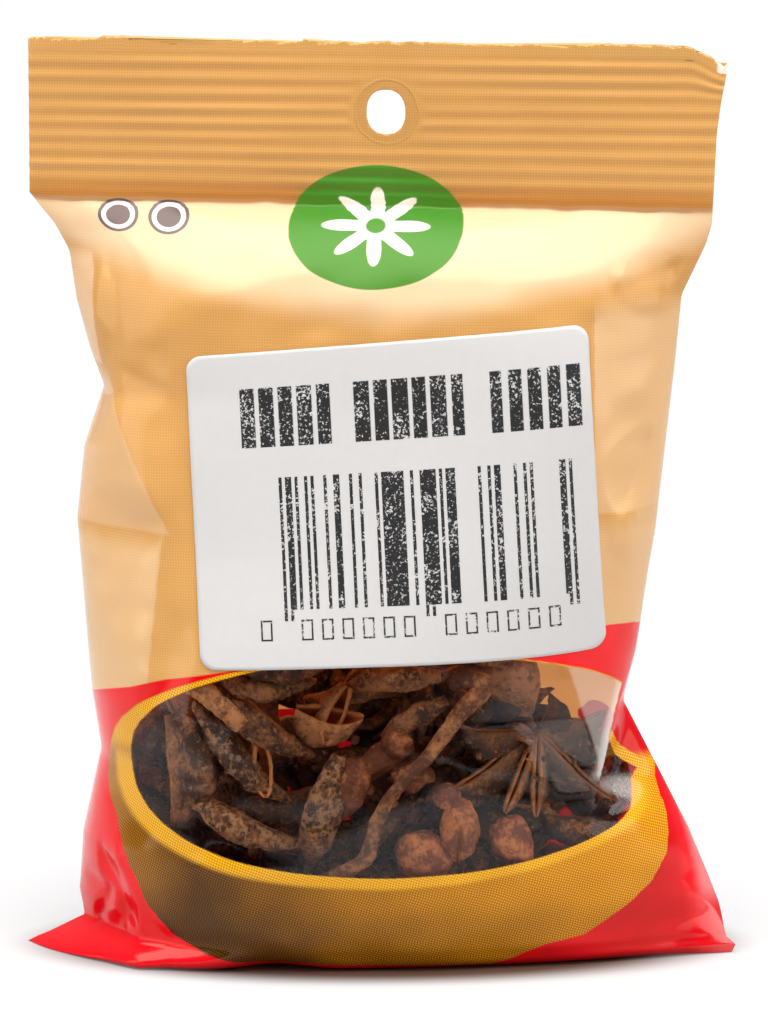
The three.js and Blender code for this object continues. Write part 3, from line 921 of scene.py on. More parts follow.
# the dry pods: each carpel is a split boat, and eight of them make a star
podForm = {
    # shares along the carpel, from the middle of the star to the beak
    "deepShare": [(0, 0.5), (0.15, 0.74), (0.4, 1), (0.65, 0.93), (0.85, 0.55), (0.95, 0.26), (1, 0.1)],
    "wideShare": [(0, 0.36), (0.15, 0.66), (0.4, 1), (0.65, 0.95), (0.85, 0.6), (0.95, 0.3), (1, 0.12)],
    "openShare": [(0, 0.05), (0.2, 0.5), (0.5, 1), (0.8, 0.7), (1, 0.1)],
    "wall": 0.42, "lipSwell": 0.28, "curl": 1.6, "wrinkle": 0.13, "crag": 0.1, "swell": 0.22,
    "length": 12.6, "deep": 5.4, "wide": 2.1,
    "hub": 0.8, "starCarpels": 8, "stars": 17, "loose": 84, "stalks": 7,
}
# carpels that lie against the window: group, start x z, end x z, how far both ends are behind the
# film, roll, size (deep, wide, opening), scurf, tone
windowCarpels = [
    ("star", (23.4, 33.6), (32.4, 22.9), (3.0, 2.6), 48, (6.8, 3.0, 0.2), 0.3, -0.55),
    ("star", (23.3, 33.2), (23.3, 22.0), (3.0, 0.8), 2, (4.8, 2.0, 0.25), 0.1, -0.2),
    ("star", (22.9, 33.2), (19.0, 22.6), (3.0, 0.8), -8, (4.8, 1.9, 0.25), 0.1, -0.25),
    ("star", (22.4, 33.6), (12.2, 25.6), (3.0, 1.4), -42, (5.8, 2.6, 0.25), 0.2, -0.4),
    ("star", (22.2, 34.0), (12.2, 33.8), (3.0, 2.4), -72, (5.4, 2.5, 0.25), 0.2, -0.5),
    ("star", (22.8, 34.4), (20.2, 36.6), (3.6, 8.0), -100, (3.6, 1.8, 0.3), 0.1, -0.8),
    ("star", (23.8, 34.4), (26.2, 37.0), (3.6, 7.0), 100, (3.8, 1.8, 0.3), 0.1, -0.7),
    ("star", (24.2, 34.2), (32.4, 33.6), (3.4, 4.0), 78, (5.4, 2.5, 0.25), 0.2, -0.5),
    ("star", (24.0, 33.8), (33.2, 28.6), (3.2, 3.4), 62, (6.2, 2.8, 0.25), 0.2, -0.55),
    ("slab", (-29.4, 36.8), (-27.0, 20.4), (2.0, 3.0), -120, (7.4, 2.6, 0.9), 0.3, -0.1),
    ("longLeft", (-24.6, 39.5), (-12.6, 24.2), (4, 4), 150, (4.4, 2.2, 0.3), 0.7, -0.1),
    ("pointed", (-22.4, 41.5), (-8.9, 30.6), (5, 5), 165, (5.4, 2.5, 0.3), 0.35, 0.15),
    ("mottled", (-25.6, 25.4), (-10.4, 18.0), (4, 4), 170, (5.4, 2.6, 0.2), 1.0, 0.1),
    ("amber", (-15.9, 34.4), (-15.3, 25.8), (3, 3), 14, (4.2, 2.0, 1.6), 0.0, 0.6),
    ("big", (-4.6, 31.4), (-9.2, 14.6), (6, 6), 176, (7.4, 3.8, 0.2), 0.95, 0.05),
    ("husk", (-10.9, 38.2), (-1.6, 35.6), (4, 4), 58, (5.8, 3.2, 2.8), 0.1, 0.3),
    ("husk", (-3.6, 41.4), (-7.2, 33.6), (6, 6), 20, (5.0, 2.4, 1.6), 0.1, 0.2),
    ("topRow", (-24.0, 44.2), (-8.6, 40.8), (5, 5), 152, (5.2, 2.3, 0.3), 0.35, 0.1),
    ("topRow", (-22.0, 47.2), (-5.0, 44.4), (6, 6), 140, (5.6, 2.4, 0.3), 0.3, 0.0),
    ("boat", (9.6, 42.6), (-3.8, 41.4), (4, 4), 166, (5.8, 2.5, 0.4), 0.4, 0.25),
    ("under", (10.4, 39.0), (1.0, 33.8), (4, 4), 172, (5.2, 2.2, 0.3), 0.45, 0.1),
    ("olive", (13.2, 42.0), (22.8, 36.0), (4, 4), -118, (7.8, 2.8, 0.3), 0.25, 0.3),
    ("olive", (12.6, 45.0), (23.6, 44.4), (5, 6), -96, (5.6, 2.2, 0.5), 0.2, 0.2),
    ("dark", (16.6, 37.4), (9.6, 31.6), (9, 9), 172, (6.0, 2.8, 0.2), 0.3, -0.4),
    ("dark", (20.4, 39.0), (16.8, 34.0), (9, 9), 180, (5.4, 2.5, 0.2), 0.1, -0.5),
    ("corner", (-30.6, 40.6), (-25.4, 33.0), (4, 4), -40, (5.0, 2.2, 0.6), 0.1, 0.25),
    ("corner", (-35.6, 30.8), (-28.4, 38.6), (6, 6), 150, (6.0, 2.8, 0.2), 0.1, -0.3),
    ("low", (-20.0, 23.6), (-8.0, 24.8), (8, 8), 160, (5.4, 2.6, 0.2), 0.2, -0.3),
    ("low", (4.6, 23.4), (-3.6, 16.4), (8, 8), 175, (5.8, 2.8, 0.2), 0.2, -0.4),
    ("low", (-34.0, 24.0), (-24.0, 17.0), (7, 7), 165, (5.8, 2.6, 0.2), 0.3, -0.3),
    ("lowRight", (24.0, 20.6), (34.0, 18.8), (5, 5), 160, (5.4, 2.4, 0.2), 0.2, -0.3),
    ("lowRight", (30.0, 27.6), (35.0, 20.6), (7, 7), 150, (5.0, 2.4, 0.2), 0.2, -0.3),
]
# the nearest that each group's pieces come to the film
windowGaps = {"star": 0.5, "slab": 0.5, "mottled": 0.5, "big": 0.5, "longLeft": 0.8, "boat": 1.0,
              "pointed": 1.4, "topRow": 1.6, "under": 2.0, "olive": 2.4, "amber": 2.4, "corner": 2.6,
              "husk": 3.0, "lowRight": 4.0, "low": 4.5, "dark": 6.5}
# rounder pieces against the window: centre x z, half sizes, turn, how angular, cleft, gap, tone
windowLumps = [
    ((12.6, 20.9), (2.7, 2.9, 4.4), 4, 0.16, 0.9, 0.4, 0.0),
    ((19.8, 19.2), (3.0, 2.8, 3.2), -20, 0.2, 0.0, 0.4, 0.0),
    ((7.4, 17.2), (4.0, 3.2, 3.4), 20, 0.14, 0.0, 0.4, 0.0),
    ((10.7, 25.8), (2.0, 1.9, 1.8), 0, 0.1, 0.0, 2.4, 0.0),
    ((-2.9, 27.2), (2.3, 2.2, 4.0), 18, 0.3, 0.5, 2.4, -0.35),
    ((0.8, 30.6), (2.9, 2.4, 1.6), -12, 0.34, 0.0, 2.4, -0.35),
    ((3.4, 33.4), (2.0, 2.2, 2.6), 10, 0.4, 0.0, 2.4, -0.35),
    ((5.4, 28.6), (2.4, 2.4, 2.2), 0, 0.36, 0.0, 2.4, -0.35),
]
stemForm = {
    # x, z, how far behind the film, radius
    "route": [(11.2, 41.2, 4.2, 1.0), (12.8, 42.9, 2.2, 1.75), (15.2, 42.6, 1.3, 1.75),
              (15.3, 40.9, 1.0, 1.5), (12.4, 37.8, 0.9, 1.2), (8.6, 32.6, 0.9, 0.98),
              (4.2, 27.9, 0.9, 0.92), (1.6, 24.1, 0.9, 0.98), (0.4, 20.2, 1.0, 1.05),
              (-0.6, 17.4, 1.1, 1.1), (-3.4, 15.4, 1.4, 1.15), (-7.4, 13.2, 2.4, 1.2)],
    "steps": 170, "columns": 26,
}
stubForm = {"from": (-26.2, 42.2), "to": (-18.2, 36.2), "half": (1.55, 0.9)}


def ring(values):  # one value for each row of a grid
    return np.asarray(values)[:, None]


def carpelRings(length, deep, wide, opening, seed, rows=29, columns=24):
    # rows along the boat; each row goes down the outside from the left lip to the right, over the
    # lip, and back up the inside: y = -cos(a)(lip + (width - lip) sin(a)^0.7), z = -depth sin(a)
    f = podForm
    t = np.sin(np.linspace(0, np.pi/2, rows))**1.15
    outside, inside = round(columns*0.58), columns - round(columns*0.58)
    a = np.concatenate([np.linspace(0, np.pi, outside), np.linspace(np.pi, 0, inside)])[None]
    isInside = (np.arange(columns) >= outside)[None]
    h, w = ring(deep*curve(f["deepShare"], t)), ring(wide*curve(f["wideShare"], t))
    gap = ring(opening/2*curve(f["openShare"], t)) + 0.05
    wall = np.minimum(f["wall"], 0.45*w)
    lip = gap + np.where(isInside, 0, wall)
    body = np.maximum(w - np.where(isInside, wall, 0), lip)
    y = -np.cos(a)*(lip + (body - lip)*np.sin(a)**0.7*1.25)
    z = -(h - np.where(isInside, wall*1.4, 0))*np.sin(a)**0.85
    onLip = np.exp(-(np.sin(a)/0.17)**2)*np.where(isInside, 0.35, 1)
    y = y*(1 + f["lipSwell"]*onLip*0.6/np.maximum(np.abs(y), 0.5))
    z = z + f["lipSwell"]*np.exp(-(np.sin(a)/0.1)**2)
    x = ring(length*t) + 0*a
    z = z + ring(f["curl"]*np.clip(t - 0.55, 0, 1)**2*4 + 0.6*t)
    rings = np.stack([x, y, z], -1)
    outward = np.stack([x*0, y, z + h*0.45], -1)
    outward /= np.maximum(np.linalg.norm(outward, axis=-1, keepdims=True), 0.3)
    rough = f["wrinkle"]*waves(seed, rings*[0.45, 1, 1], 1.5) + f["crag"]*waves(seed + 1, rings, 0.75)
    rough = rough + f["swell"]*waves(seed + 2, rings, 4.5)
    rings = rings + outward*(rough*np.where(isInside, 0.3, 1)*(1 - 0.6*onLip))[..., None]
    return rings, np.broadcast_to(onLip, x.shape), np.broadcast_to(isInside, x.shape).astype(float)


def axesFor(direction, roll):
    # x runs along the direction, z (the lips) is the viewer's side turned about it by roll degrees
    d = unit(np.array(direction, float))
    aside = unit(np.array([-d[2], 0, d[0]]))
    front = np.cross(aside, d)
    front = front if front[1] < 0 else -front
    up = math.cos(math.radians(roll))*front + math.sin(math.radians(roll))*aside
    return np.stack([d, np.cross(up, d), up])


def asPart(rings, **values):
    # a grid of rings as a closed part; each value is one number, a grid, or one for each row
    points, quads, tris = closedTube(rings)
    spread = {}
    for name, value in values.items():
        grid = np.broadcast_to(value, rings.shape[:2])
        spread[name] = np.concatenate([grid.ravel(), [grid[0].mean(), grid[-1].mean()]])
    return points, quads, tris, spread


def filmDistance(points, isFront):
    # how far inside the film each point is, along y
    x, z = points[:, 0], np.clip(points[:, 2], 0.5, footHeight - 2)
    left, right = along(bagForm["leftSide"], z), along(bagForm["rightSide"], z)
    u = np.clip((x - (right - left)/2)/((left + right)/2), -0.985, 0.985)
    y = filmPoint(u, z, isFront)[1]
    return points[:, 1] - y if isFront else y - points[:, 1]


def pressToFilm(group, gap):
    # moves a group of ring grids together until its nearest point is the gap from the front film
    points = np.concatenate([rings.reshape(-1, 3) for rings in group])
    shift = gap - filmDistance(points, True).min()
    return [rings + [0, shift, 0] for rings in group]


def filmY(x, z):  # where the front film is
    return -float(filmDistance(np.array([[x, 0, z]]), True)[0])


def makeWindowCarpels():
    # each follows the film between its ends; the star moves as one, the others lie their group's gap
    # behind the film
    groups = {}
    for index, (group, start, end, behind, roll, size, scurf, tone) in enumerate(windowCarpels):
        a = np.array([start[0], filmY(*start) + behind[0], start[1]])
        b = np.array([end[0], filmY(*end) + behind[1], end[1]])
        length = np.linalg.norm(b - a)
        rings, lip, inner = carpelRings(length, *size, 100 + index*7, rows=54, columns=42)
        rings = rings @ axesFor(b - a, roll) + a
        key = group if group == "star" else (group, index)
        groups.setdefault(key, []).append((rings, dict(lip=lip, inner=inner, scurf=scurf, tone=tone)))
    parts = []
    for key, members in groups.items():
        gap = windowGaps[key if key == "star" else key[0]]
        placed = pressToFilm([rings for rings, _ in members], gap)
        parts += [asPart(rings, **values) for rings, (_, values) in zip(placed, members)]
    return parts


def starParts(centre, axis, spin, size, seed, openness):
    # eight carpels round one axis, no two alike
    rng = np.random.default_rng(seed)
    axis = unit(axis)
    side = unit(np.cross(axis, [0.3, 0.9, 0.2]))
    other = np.cross(axis, side)
    made = []
    for k in range(podForm["starCarpels"]):
        angle = spin + 2*np.pi*(k + rng.uniform(-0.12, 0.12))/podForm["starCarpels"]
        d = unit(math.cos(angle)*side + math.sin(angle)*other + rng.uniform(-0.15, 0.22)*axis)
        up = unit(axis - d*(axis @ d))
        length = podForm["length"]*size*rng.uniform(0.78, 1.08)
        opening = openness*rng.uniform(0.3, 1.3)
        deep = podForm["deep"]*size*rng.uniform(0.85, 1.1)
        wide = podForm["wide"]*size*rng.uniform(0.85, 1.1)
        rings, lip, inner = carpelRings(length, deep, wide, opening, seed + k)
        rings = rings @ np.stack([d, np.cross(up, d), up]) + centre + d*podForm["hub"]
        scurf, tone = rng.uniform(0, 0.6), rng.uniform(-0.5, 0.2)
        made.append((rings, dict(lip=lip, inner=inner, scurf=scurf, tone=tone)))
    return made


# shares of the bag's half width, heights in mm and the least distance from the back film
heapRoom = {
    "sideShare": 0.9, "clipZ": 60, "low": 1.2, "lowest": 0.6, "backGap": 0.7, "rounds": 6,
    "slope": {"left": 46, "fall": 13, "from": 2, "across": 24},
    "spacing": {"star": 9.0, "carpel": 4.2}, "triesEach": 14,
}


def fitInside(group, gap, topZ):
    # pushes a group of ring grids off the film, the floor and the sides; says whether it then fits
    room = heapRoom
    points = np.concatenate([rings.reshape(-1, 3)[::5] for rings, _ in group])
    shift = np.zeros(3)
    for _ in range(room["rounds"]):
        p = points + shift
        z = np.clip(p[:, 2], 0, room["clipZ"])
        left, right = along(bagForm["leftSide"], z), along(bagForm["rightSide"], z)
        overLeft = (-left*room["sideShare"] - p[:, 0]).max()
        overRight = (p[:, 0] - right*room["sideShare"]).max()
        shift[0] += max(overLeft, 0) - max(overRight, 0)
        shift[2] += max((room["low"] - p[:, 2]).max(), 0) - max((p[:, 2] - topZ).max(), 0)*0.5
        front, back = filmDistance(p, True).min(), filmDistance(p, False).min()
        shift[1] += max(gap - front, 0) - max(room["backGap"] - back, 0)
    p = points + shift
    worst = min(filmDistance(p, True).min() - gap, filmDistance(p, False).min() - room["backGap"],
                (p[:, 2] - room["lowest"]).min())
    return worst > -0.25 and max(overLeft, overRight) < 1, shift


def heapTop(x):
    # the heap stands higher on the left
    slope = heapRoom["slope"]
    return slope["left"] - slope["fall"]*smooth((x - slope["from"])/slope["across"])


def makeHeap(kind, count, gap, seed):
    # seeded tries: the first places that fit inside the bag are kept
    rng = np.random.default_rng(seed)
    parts, placed, tries = [], [], 0
    spacing = heapRoom["spacing"][kind]
    while len(placed) < count and tries < count*heapRoom["triesEach"]:
        tries += 1
        centre = np.array([rng.uniform(-38, 36), rng.uniform(-9, 12), rng.uniform(5, 41)])
        if centre[2] > heapTop(centre[0]) - 3:
            continue
        if any(np.linalg.norm((centre - other)*[1, 1.2, 1.1]) < spacing for other in placed):
            continue
        axis = rng.normal(size=3)*[1, 1.3, 1]
        if kind == "star":
            group = starParts(centre, axis, rng.uniform(0, 6), rng.uniform(0.8, 1.0), 1000 + tries*11,
                              rng.choice([0.4, 1.2, 2.0]))
        else:
            length = podForm["length"]*rng.uniform(0.75, 1.15)
            deep, wide = podForm["deep"]*rng.uniform(0.8, 1.2), podForm["wide"]*rng.uniform(0.8, 1.3)
            opening = rng.choice([0.3, 1.0, 2.4])
            rings, lip, inner = carpelRings(length, deep, wide, opening, 5000 + tries*5)
            direction = rng.normal(size=3)*[1, 0.6, 0.7]
            rings = (rings - [length/2, 0, 0]) @ axesFor(direction, rng.uniform(0, 360)) + centre
            scurf, tone = rng.choice([0.1, 0.3, 0.9]), rng.uniform(-0.5, 0.3)
            group = [(rings, dict(lip=lip, inner=inner, scurf=scurf, tone=tone))]
        fits, shift = fitInside(group, gap, heapTop(centre[0]) + 2)
        if fits:
            placed.append(centre + shift)
            parts += [asPart(rings + shift, **values) for rings, values in group]
    print("  ", kind, len(placed), "placed in", tries, "tries")
    return parts


def lumpRings(half, angular, cleft, seed, rows=40, columns=48):
    # a ball whose radius is stepped by a few rounded flats, with a cleft down the front
    polar = np.linspace(0.02, np.pi - 0.02, rows)[:, None]
    turn = np.linspace(0, 2*np.pi, columns, endpoint=False)[None]
    out = np.sin(polar)
    ball = np.stack([out*np.cos(turn), out*np.sin(turn), np.cos(polar) + 0*turn], -1)
    flats = unit(np.random.default_rng(seed).normal(size=(16, 3)))
    radius = 1/np.maximum((ball @ flats.T).max(-1), 0.6)
    radius = 1 + (radius - 1)*angular*2.2 + angular*0.35*waves(seed, ball, 1.0)
    radius = radius + 0.02*waves(seed + 1, ball, 0.3)
    front = np.exp(-((turn + np.pi/2 - 2*np.pi*(turn > np.pi))/0.16)**2)
    front = front*smooth((polar - 1.0)/0.5)
    radius = radius - cleft*0.45*front
    return ball*radius[..., None]*np.array(half), front*cleft


def turnXZ(points, degrees):
    c, s = math.cos(math.radians(degrees)), math.sin(math.radians(degrees))
    x, y, z = points[..., 0], points[..., 1], points[..., 2]
    return np.stack([x*c + z*s, y, z*c - x*s], -1)


def makeLumps():
    parts = []
    for index, ((x, z), half, turn, angular, cleft, gap, tone) in enumerate(windowLumps):
        rings, cut = lumpRings(half, angular, cleft, 300 + index*3)
        rings = pressToFilm([turnXZ(rings, turn) + [x, 0, z]], gap)[0]
        parts.append(asPart(rings, lip=np.clip(cut, 0, 1), inner=0.0, scurf=0.2, tone=tone))
    return parts


def pathTube(route, radii, columns, flatten, seed):
    # a round section carried along a route, its frame turned as little as it can be
    ahead = unit(np.gradient(route, axis=0))
    side = unit(np.cross(ahead, [0, 1, 0]))
    other = np.cross(ahead, side)
    a = np.linspace(0, 2*np.pi, columns, endpoint=False)
    flat = np.cos(a)[None, :, None]*side[:, None] + np.sin(a)[None, :, None]*other[:, None]*flatten
    rings = route[:, None] + flat*radii[:, None, None]
    grain = 0.10*waves(seed, rings*[1, 1, 0.5], 1.4) + 0.05*waves(seed + 1, rings, 0.6)
    return rings + flat*grain[..., None]


def makeLongStalk():
    # a tube on a smooth route that stays the same way behind the film, its ends drawn in
    f = stemForm
    stops = np.array(f["route"])
    t = np.linspace(0, len(stops) - 1, f["steps"])
    x, z, behind, radius = (catmull(stops[:, k], t) for k in range(4))
    place = np.stack([x, 0*x, z], -1)
    route = place.copy()
    route[:, 1] = behind + radius - filmDistance(place, True)
    ends = np.clip(np.minimum(t, t[-1] - t)/0.12, 0, 1)
    rings = pathTube(route, radius*np.sqrt(0.1 + 0.9*ends), f["columns"], 0.85, 71)
    return asPart(rings, lip=0.0, inner=0.0, scurf=0.3, tone=ring(-0.6*smooth((2.2 - t)/1.2)))


def makeStub():
    # the flat pitted piece at the window's upper left, a little bowed
    s = stubForm
    t = np.linspace(0, 1, 60)
    line = np.stack([s["from"][0] + (s["to"][0] - s["from"][0])*t, 0*t,
                     s["from"][1] + (s["to"][1] - s["from"][1])*t + 0.5*np.sin(np.pi*t)], -1)
    line[:, 1] = -filmDistance(line, True) + 1.6
    ends = np.clip(np.minimum(t, 1 - t)/0.06, 0, 1)
    stub = pathTube(line, s["half"][0]*(0.86 + 0.14*ends)*(1.12 - 0.25*t), 26, 0.62, 77)
    return asPart(stub, lip=0.0, inner=0.0, scurf=0.9, tone=0.5)


def makeTwigs():
    # thin stalks strewn through the heap, each bowed up or down
    rng = np.random.default_rng(81)
    parts = []
    for k in range(podForm["stalks"]):
        start = np.array([rng.uniform(-30, 28), rng.uniform(-6, 8), rng.uniform(10, 36)])
        way = unit(rng.normal(size=3)*[1, 0.5, 0.8])
        way = way*rng.uniform(7, 13)
        t = np.linspace(0, 1, 30)[:, None]
        bend = np.array([0, 0, 1.0])*np.sin(np.pi*t)*rng.uniform(-2, 2)
        twig = pathTube(start + way*t + bend, 0.75 + 0.25*t[:, 0]**3, 12, 1.0, 90 + k)
        fits, shift = fitInside([(twig, None)], 3, heapTop(start[0]))
        if fits:
            parts.append(asPart(twig + shift, lip=0.0, inner=0.0, scurf=0.3, tone=-0.2))
    return parts


def catmull(values, t):
    # a smooth curve through evenly numbered values
    i = np.clip(t.astype(int), 0, len(values) - 2)
    f = t - i
    v = np.concatenate([[2*values[0] - values[1]], values, [2*values[-1] - values[-2]]])
    a, b, c, d = v[i], v[i + 1], v[i + 2], v[i + 3]
    return 0.5*(2*b + (c - a)*f + (2*a - 5*b + 4*c - d)*f**2 + (3*b - a - 3*c + d)*f**3)


# how many, between which corners, least distance behind the film, how far above the heap, tones
strewn = {
    "seed": {"seed": 91, "count": 24, "low": (-34, -12, 4), "high": (32, 10, 36),
             "gap": 9, "above": 1, "tone": (-0.3, 0.3)},
    "crumb": {"seed": 95, "count": 150, "low": (-36, -16, 2), "high": (34, 10, 34),
              "gap": 0.8, "above": -2, "tone": (-0.6, 0.3)},
}


def strew(kind, makeOne, plain):
    # small pieces turned at random through the heap; those that don't fit are left out
    form = strewn[kind]
    rng = np.random.default_rng(form["seed"])
    parts = []
    for k in range(form["count"]):
        rings = makeOne(rng, k)
        centre = rng.uniform(form["low"], form["high"])
        rings = rings @ axesFor(rng.normal(size=3), rng.uniform(0, 360)) + centre
        fits, shift = fitInside([(rings, None)], form["gap"], heapTop(centre[0]) + form["above"])
        if fits:
            parts.append(asPart(rings + shift, tone=rng.uniform(*form["tone"]), **plain))
    return parts


def seedRings(rng, k):
    return lumpRings((2.7, 1.9, 1.1), 0.02, 0, 400 + k, rows=14, columns=20)[0]


def crumbRings(rng, k):
    size = rng.uniform(0.35, 1.3)*np.array([1, rng.uniform(0.5, 1), rng.uniform(0.3, 0.8)])
    return lumpRings(size, 0.35, 0, 600 + k, rows=7, columns=8)[0]


podColours = {
    "dark": (70, 41, 24), "brown": (170, 108, 64), "lip": (206, 136, 78), "inner": (196, 108, 34),
    "scurf": (206, 154, 108), "stem": (206, 138, 86), "stemDark": (112, 66, 42), "fruit": (216, 132, 78),
    "fruitDark": (128, 68, 40), "seed": (60, 28, 14), "seedLight": (104, 54, 24),
}


def makePodMaterial(name, dark, light, spotScale, spotLow):
    # dark and light in clouds, pale scurf in spots, with lighter lips and an amber inside
    c = {key: linear(*value) for key, value in podColours.items()}
    material, sheet = newMaterial(name)
    lip, inner, scurf, tone = (sheet.node("Attribute", {"attribute_name": label}, {}, output=2)
                               for label in ("lip", "inner", "scurf", "tone"))
    broad = sheet.noise(330.0, 3.0, 0.6)
    fine = sheet.noise(1500.0, 3.0, 0.65)
    patches = sheet.noise(spotScale, 4.0, 0.7)
    base = sheet.blend(c[dark], c[light], (broad + (fine - 0.5)*0.7 + tone*0.3).rise(0.36, 0.72))
    spots = (patches + scurf*0.2 - 0.11 + (fine - 0.5)*0.7).rise(spotLow - 0.02, spotLow + 0.12)
    spots = spots * scurf.rise(0, 0.35)
    base = base.mix(c["scurf"], spots*0.62).mix(c["inner"], inner*0.85)
    base = base.mix(c["lip"], lip*(fine.rise(0.3, 0.6)*0.5 + 0.2)*(1 + tone.least(0.0)))
    base = base.tint(1 + tone*0.45 + (broad - 0.5)*0.5)
    normal = sheet.bump(fine*0.25 + broad*0.35 + spots*0.22, 0.8)
    finishMaterial(sheet, sheet.node("BsdfPrincipled", {}, {
        "Base Color": base, "Roughness": 0.52 + fine*0.25, "Normal": normal, "IOR": 1.45}))
    return material


def makeSeedMaterial():
    material, sheet = newMaterial("glossy seed")
    cloud = sheet.noise(260.0)
    shell = sheet.blend(linear(*podColours["seed"]), linear(*podColours["seedLight"]), cloud)
    finishMaterial(sheet, sheet.node("BsdfPrincipled", {}, {
        "Base Color": shell, "Roughness": 0.18 + cloud*0.1}))
    return material


podMaterial = makePodMaterial("dry pod", "dark", "brown", 700.0, 0.54)
stemMaterial = makePodMaterial("stalk", "stemDark", "stem", 1200.0, 0.6)
fruitMaterial = makePodMaterial("unripe fruit", "fruitDark", "fruit", 900.0, 0.62)
contents = [
    ("windowPods", makeWindowCarpels(), podMaterial),
    ("starHeap", makeHeap("star", podForm["stars"], 6, 21), podMaterial),
    ("podHeap", makeHeap("carpel", podForm["loose"], 2.4, 22), podMaterial),
    ("roundFruits", makeLumps(), fruitMaterial),
    ("stalks", [makeLongStalk(), makeStub(), *makeTwigs()], stemMaterial),
    ("seeds", strew("seed", seedRings, {}), makeSeedMaterial()),
    ("crumbs", strew("crumb", crumbRings, {"lip": 0.0, "inner": 0.0, "scurf": 0.3}), podMaterial),
]
for name, parts, material in contents:
    points, quads, tris, values = joinParts(parts)
    piece = addPiece(name, points, quads, tris, material, values)
    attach(piece, "root")
    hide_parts("pack")
    print(name, len(parts), "parts", len(piece.data.polygons), "faces")


# floor, light and camera
stageLook = {
    # the floor's half width in metres, its faces along each side, how far below the bag it is in mm
    "floorReach": 6.0, "floorCells": 8, "floorDrop": 0.05,
    "paint": 0.42, "farPaint": 0.04, "world": 0.3, "worldNear": 0.03,
    # the painted shadow at the foot, a soft dark patch: half widths in metres, how dark its red, green
    # and blue are
    "patch": (0.054, 0.024), "paintedShadowTint": (0.3, 0.17, 0.12),
    # how brightly the floor glows by itself, by distance from the bag in metres
    "glow": [(0.0, 0.2), (0.06, 0.34), (0.1, 0.48), (0.24, 0.98), (1.0, 1.0), (3.0, 1.0)],
    # degrees round and up, metres away, what it looks at, and the size of a pixel there
    "camera": {"turn": 5, "lift": 10, "away": 0.65, "aimX": 0.0003, "aimZ": 0.064, "pixel": 0.000145,
               "sensor": 36, "rows": 1024},
    # name, place, size, watts
    "lights": [("top", (0.0, -0.12, 0.6), (0.9, 0.66), 9.0),
               ("left", (-0.72, -0.42, 0.32), (0.5, 0.6), 2.1),
               ("right", (0.74, -0.4, 0.32), (0.5, 0.6), 2.3)],
}


def makeFloor():
    material, sheet = newMaterial("white floor")
    place = sheet.node("TexCoord", {}, {}, output=3)
    x = sheet.node("SeparateXYZ", {}, {0: place})
    y = sheet.node("SeparateXYZ", {}, {0: place}, output=1)
    # dark far out on the camera's side, where only the glossy film sees it
    dark = y.rise(-0.13, -0.24) * abs(x).rise(0.5, 0.3)
    away = (x*x*0.5 + y*y)**0.5
    # painted shadow: a soft dark patch under the bag's foot darkens the floor's paint and takes away its
    # glow
    wide, deep = stageLook["patch"]
    across, ahead = x*(1/wide), (y - x*0.08 + 0.001)*(1/deep)
    patch = ((across*across + ahead*ahead)**0.5).rise(1.04, 0.74)
    glow = away.least(3.0).curve(stageLook["glow"]) * (1 - dark) * (1 - patch)
    shade = stageLook["paint"] + away.rise(0.1, 0.24)*(stageLook["farPaint"] - stageLook["paint"])
    base = sheet.colour(*(shade*(1 - patch*(1 - tint)) for tint in stageLook["paintedShadowTint"]))
    paint = sheet.node("BsdfPrincipled", {}, {
        "Base Color": base, "Roughness": 0.8, "Specular IOR Level": 0.0,
        "Emission Color": sheet.colour(glow, glow, glow), "Emission Strength": 1.0})
    finishMaterial(sheet, paint)
    cells = stageLook["floorCells"]
    share = np.linspace(-1, 1, cells + 1) * stageLook["floorReach"]/metre
    x, y = np.meshgrid(share, share)
    points = np.stack([x, y, np.full_like(x, -stageLook["floorDrop"])], -1).reshape(-1, 3)
    i, j = np.meshgrid(np.arange(cells), np.arange(cells), indexing="ij")
    a = (i*(cells + 1) + j).ravel()
    quads = np.stack([a, a + 1, a + cells + 2, a + cells + 1], -1)
    return addPiece("floor", points, quads, np.zeros((0, 3), int), material)


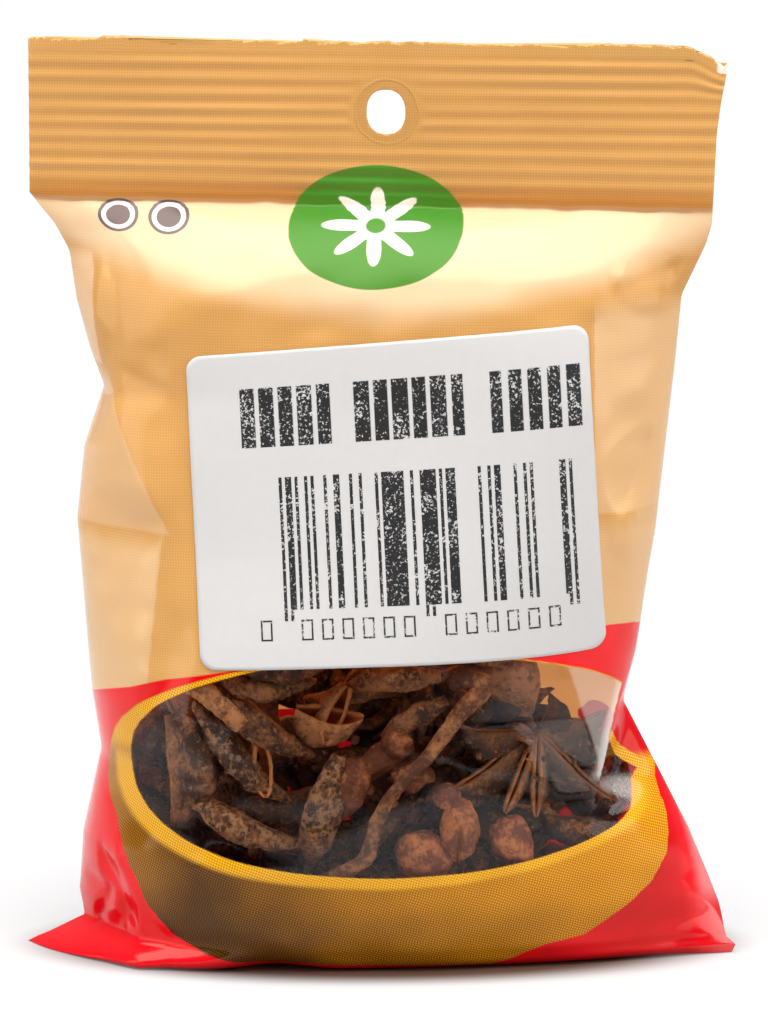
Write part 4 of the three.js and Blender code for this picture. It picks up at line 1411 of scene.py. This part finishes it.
def makeLights():
    for name, place, size, watts in stageLook["lights"]:
        lamp = bpy.data.lights.new(name, "AREA")
        lamp.shape, lamp.size, lamp.size_y, lamp.energy = "RECTANGLE", *size, watts
        holder = bpy.data.objects.new(name, lamp)
        holder.location = place
        holder.rotation_euler = (Vector((0, 0, 0.05)) - Vector(place)).to_track_quat("-Z", "Y").to_euler()
        bpy.context.scene.collection.objects.link(holder)


def makeWorld():
    # white all round, darker low down on the camera's side, so that the window can be seen through
    world = bpy.data.worlds.new("studio")
    bpy.context.scene.world = world
    world.use_nodes = True
    world.node_tree.nodes.clear()
    sheet = Shader(world.node_tree)
    way = sheet.node("TexCoord", {}, {}, output=0)
    y = sheet.node("SeparateXYZ", {}, {0: way}, output=1)
    z = sheet.node("SeparateXYZ", {}, {0: way}, output=2)
    near = y.rise(-0.2, -0.6) * z.rise(0.5, 0.3)
    strength = stageLook["world"] - near*(stageLook["world"] - stageLook["worldNear"])
    back = sheet.node("Background", {}, {"Color": (1, 1, 1, 1), "Strength": strength})
    output = world.node_tree.nodes.new("ShaderNodeOutputWorld")
    world.node_tree.links.new(back.socket, output.inputs["Surface"])


def makeCamera():
    c = stageLook["camera"]
    turn, lift = math.radians(c["turn"]), math.radians(c["lift"])
    back = Vector((math.sin(turn)*math.cos(lift), -math.cos(turn)*math.cos(lift), math.sin(lift)))
    lens = bpy.data.cameras.new("camera")
    lens.sensor_fit = "VERTICAL"
    lens.sensor_height = lens.sensor_width = c["sensor"]
    lens.lens = c["sensor"]*c["away"]/(c["rows"]*c["pixel"])
    lens.clip_start, lens.clip_end = 0.01, 50
    camera = bpy.data.objects.new("camera", lens)
    camera.location = Vector((c["aimX"], 0, c["aimZ"])) + back*c["away"]
    camera.rotation_euler = (-back).to_track_quat("-Z", "Y").to_euler()
    bpy.context.scene.collection.objects.link(camera)
    bpy.context.scene.camera = camera


makeFloor()
makeLights()
makeWorld()
makeCamera()
bpy.context.scene.view_settings.view_transform = "Standard"
print("stage")


bpy.context.view_layer.update()
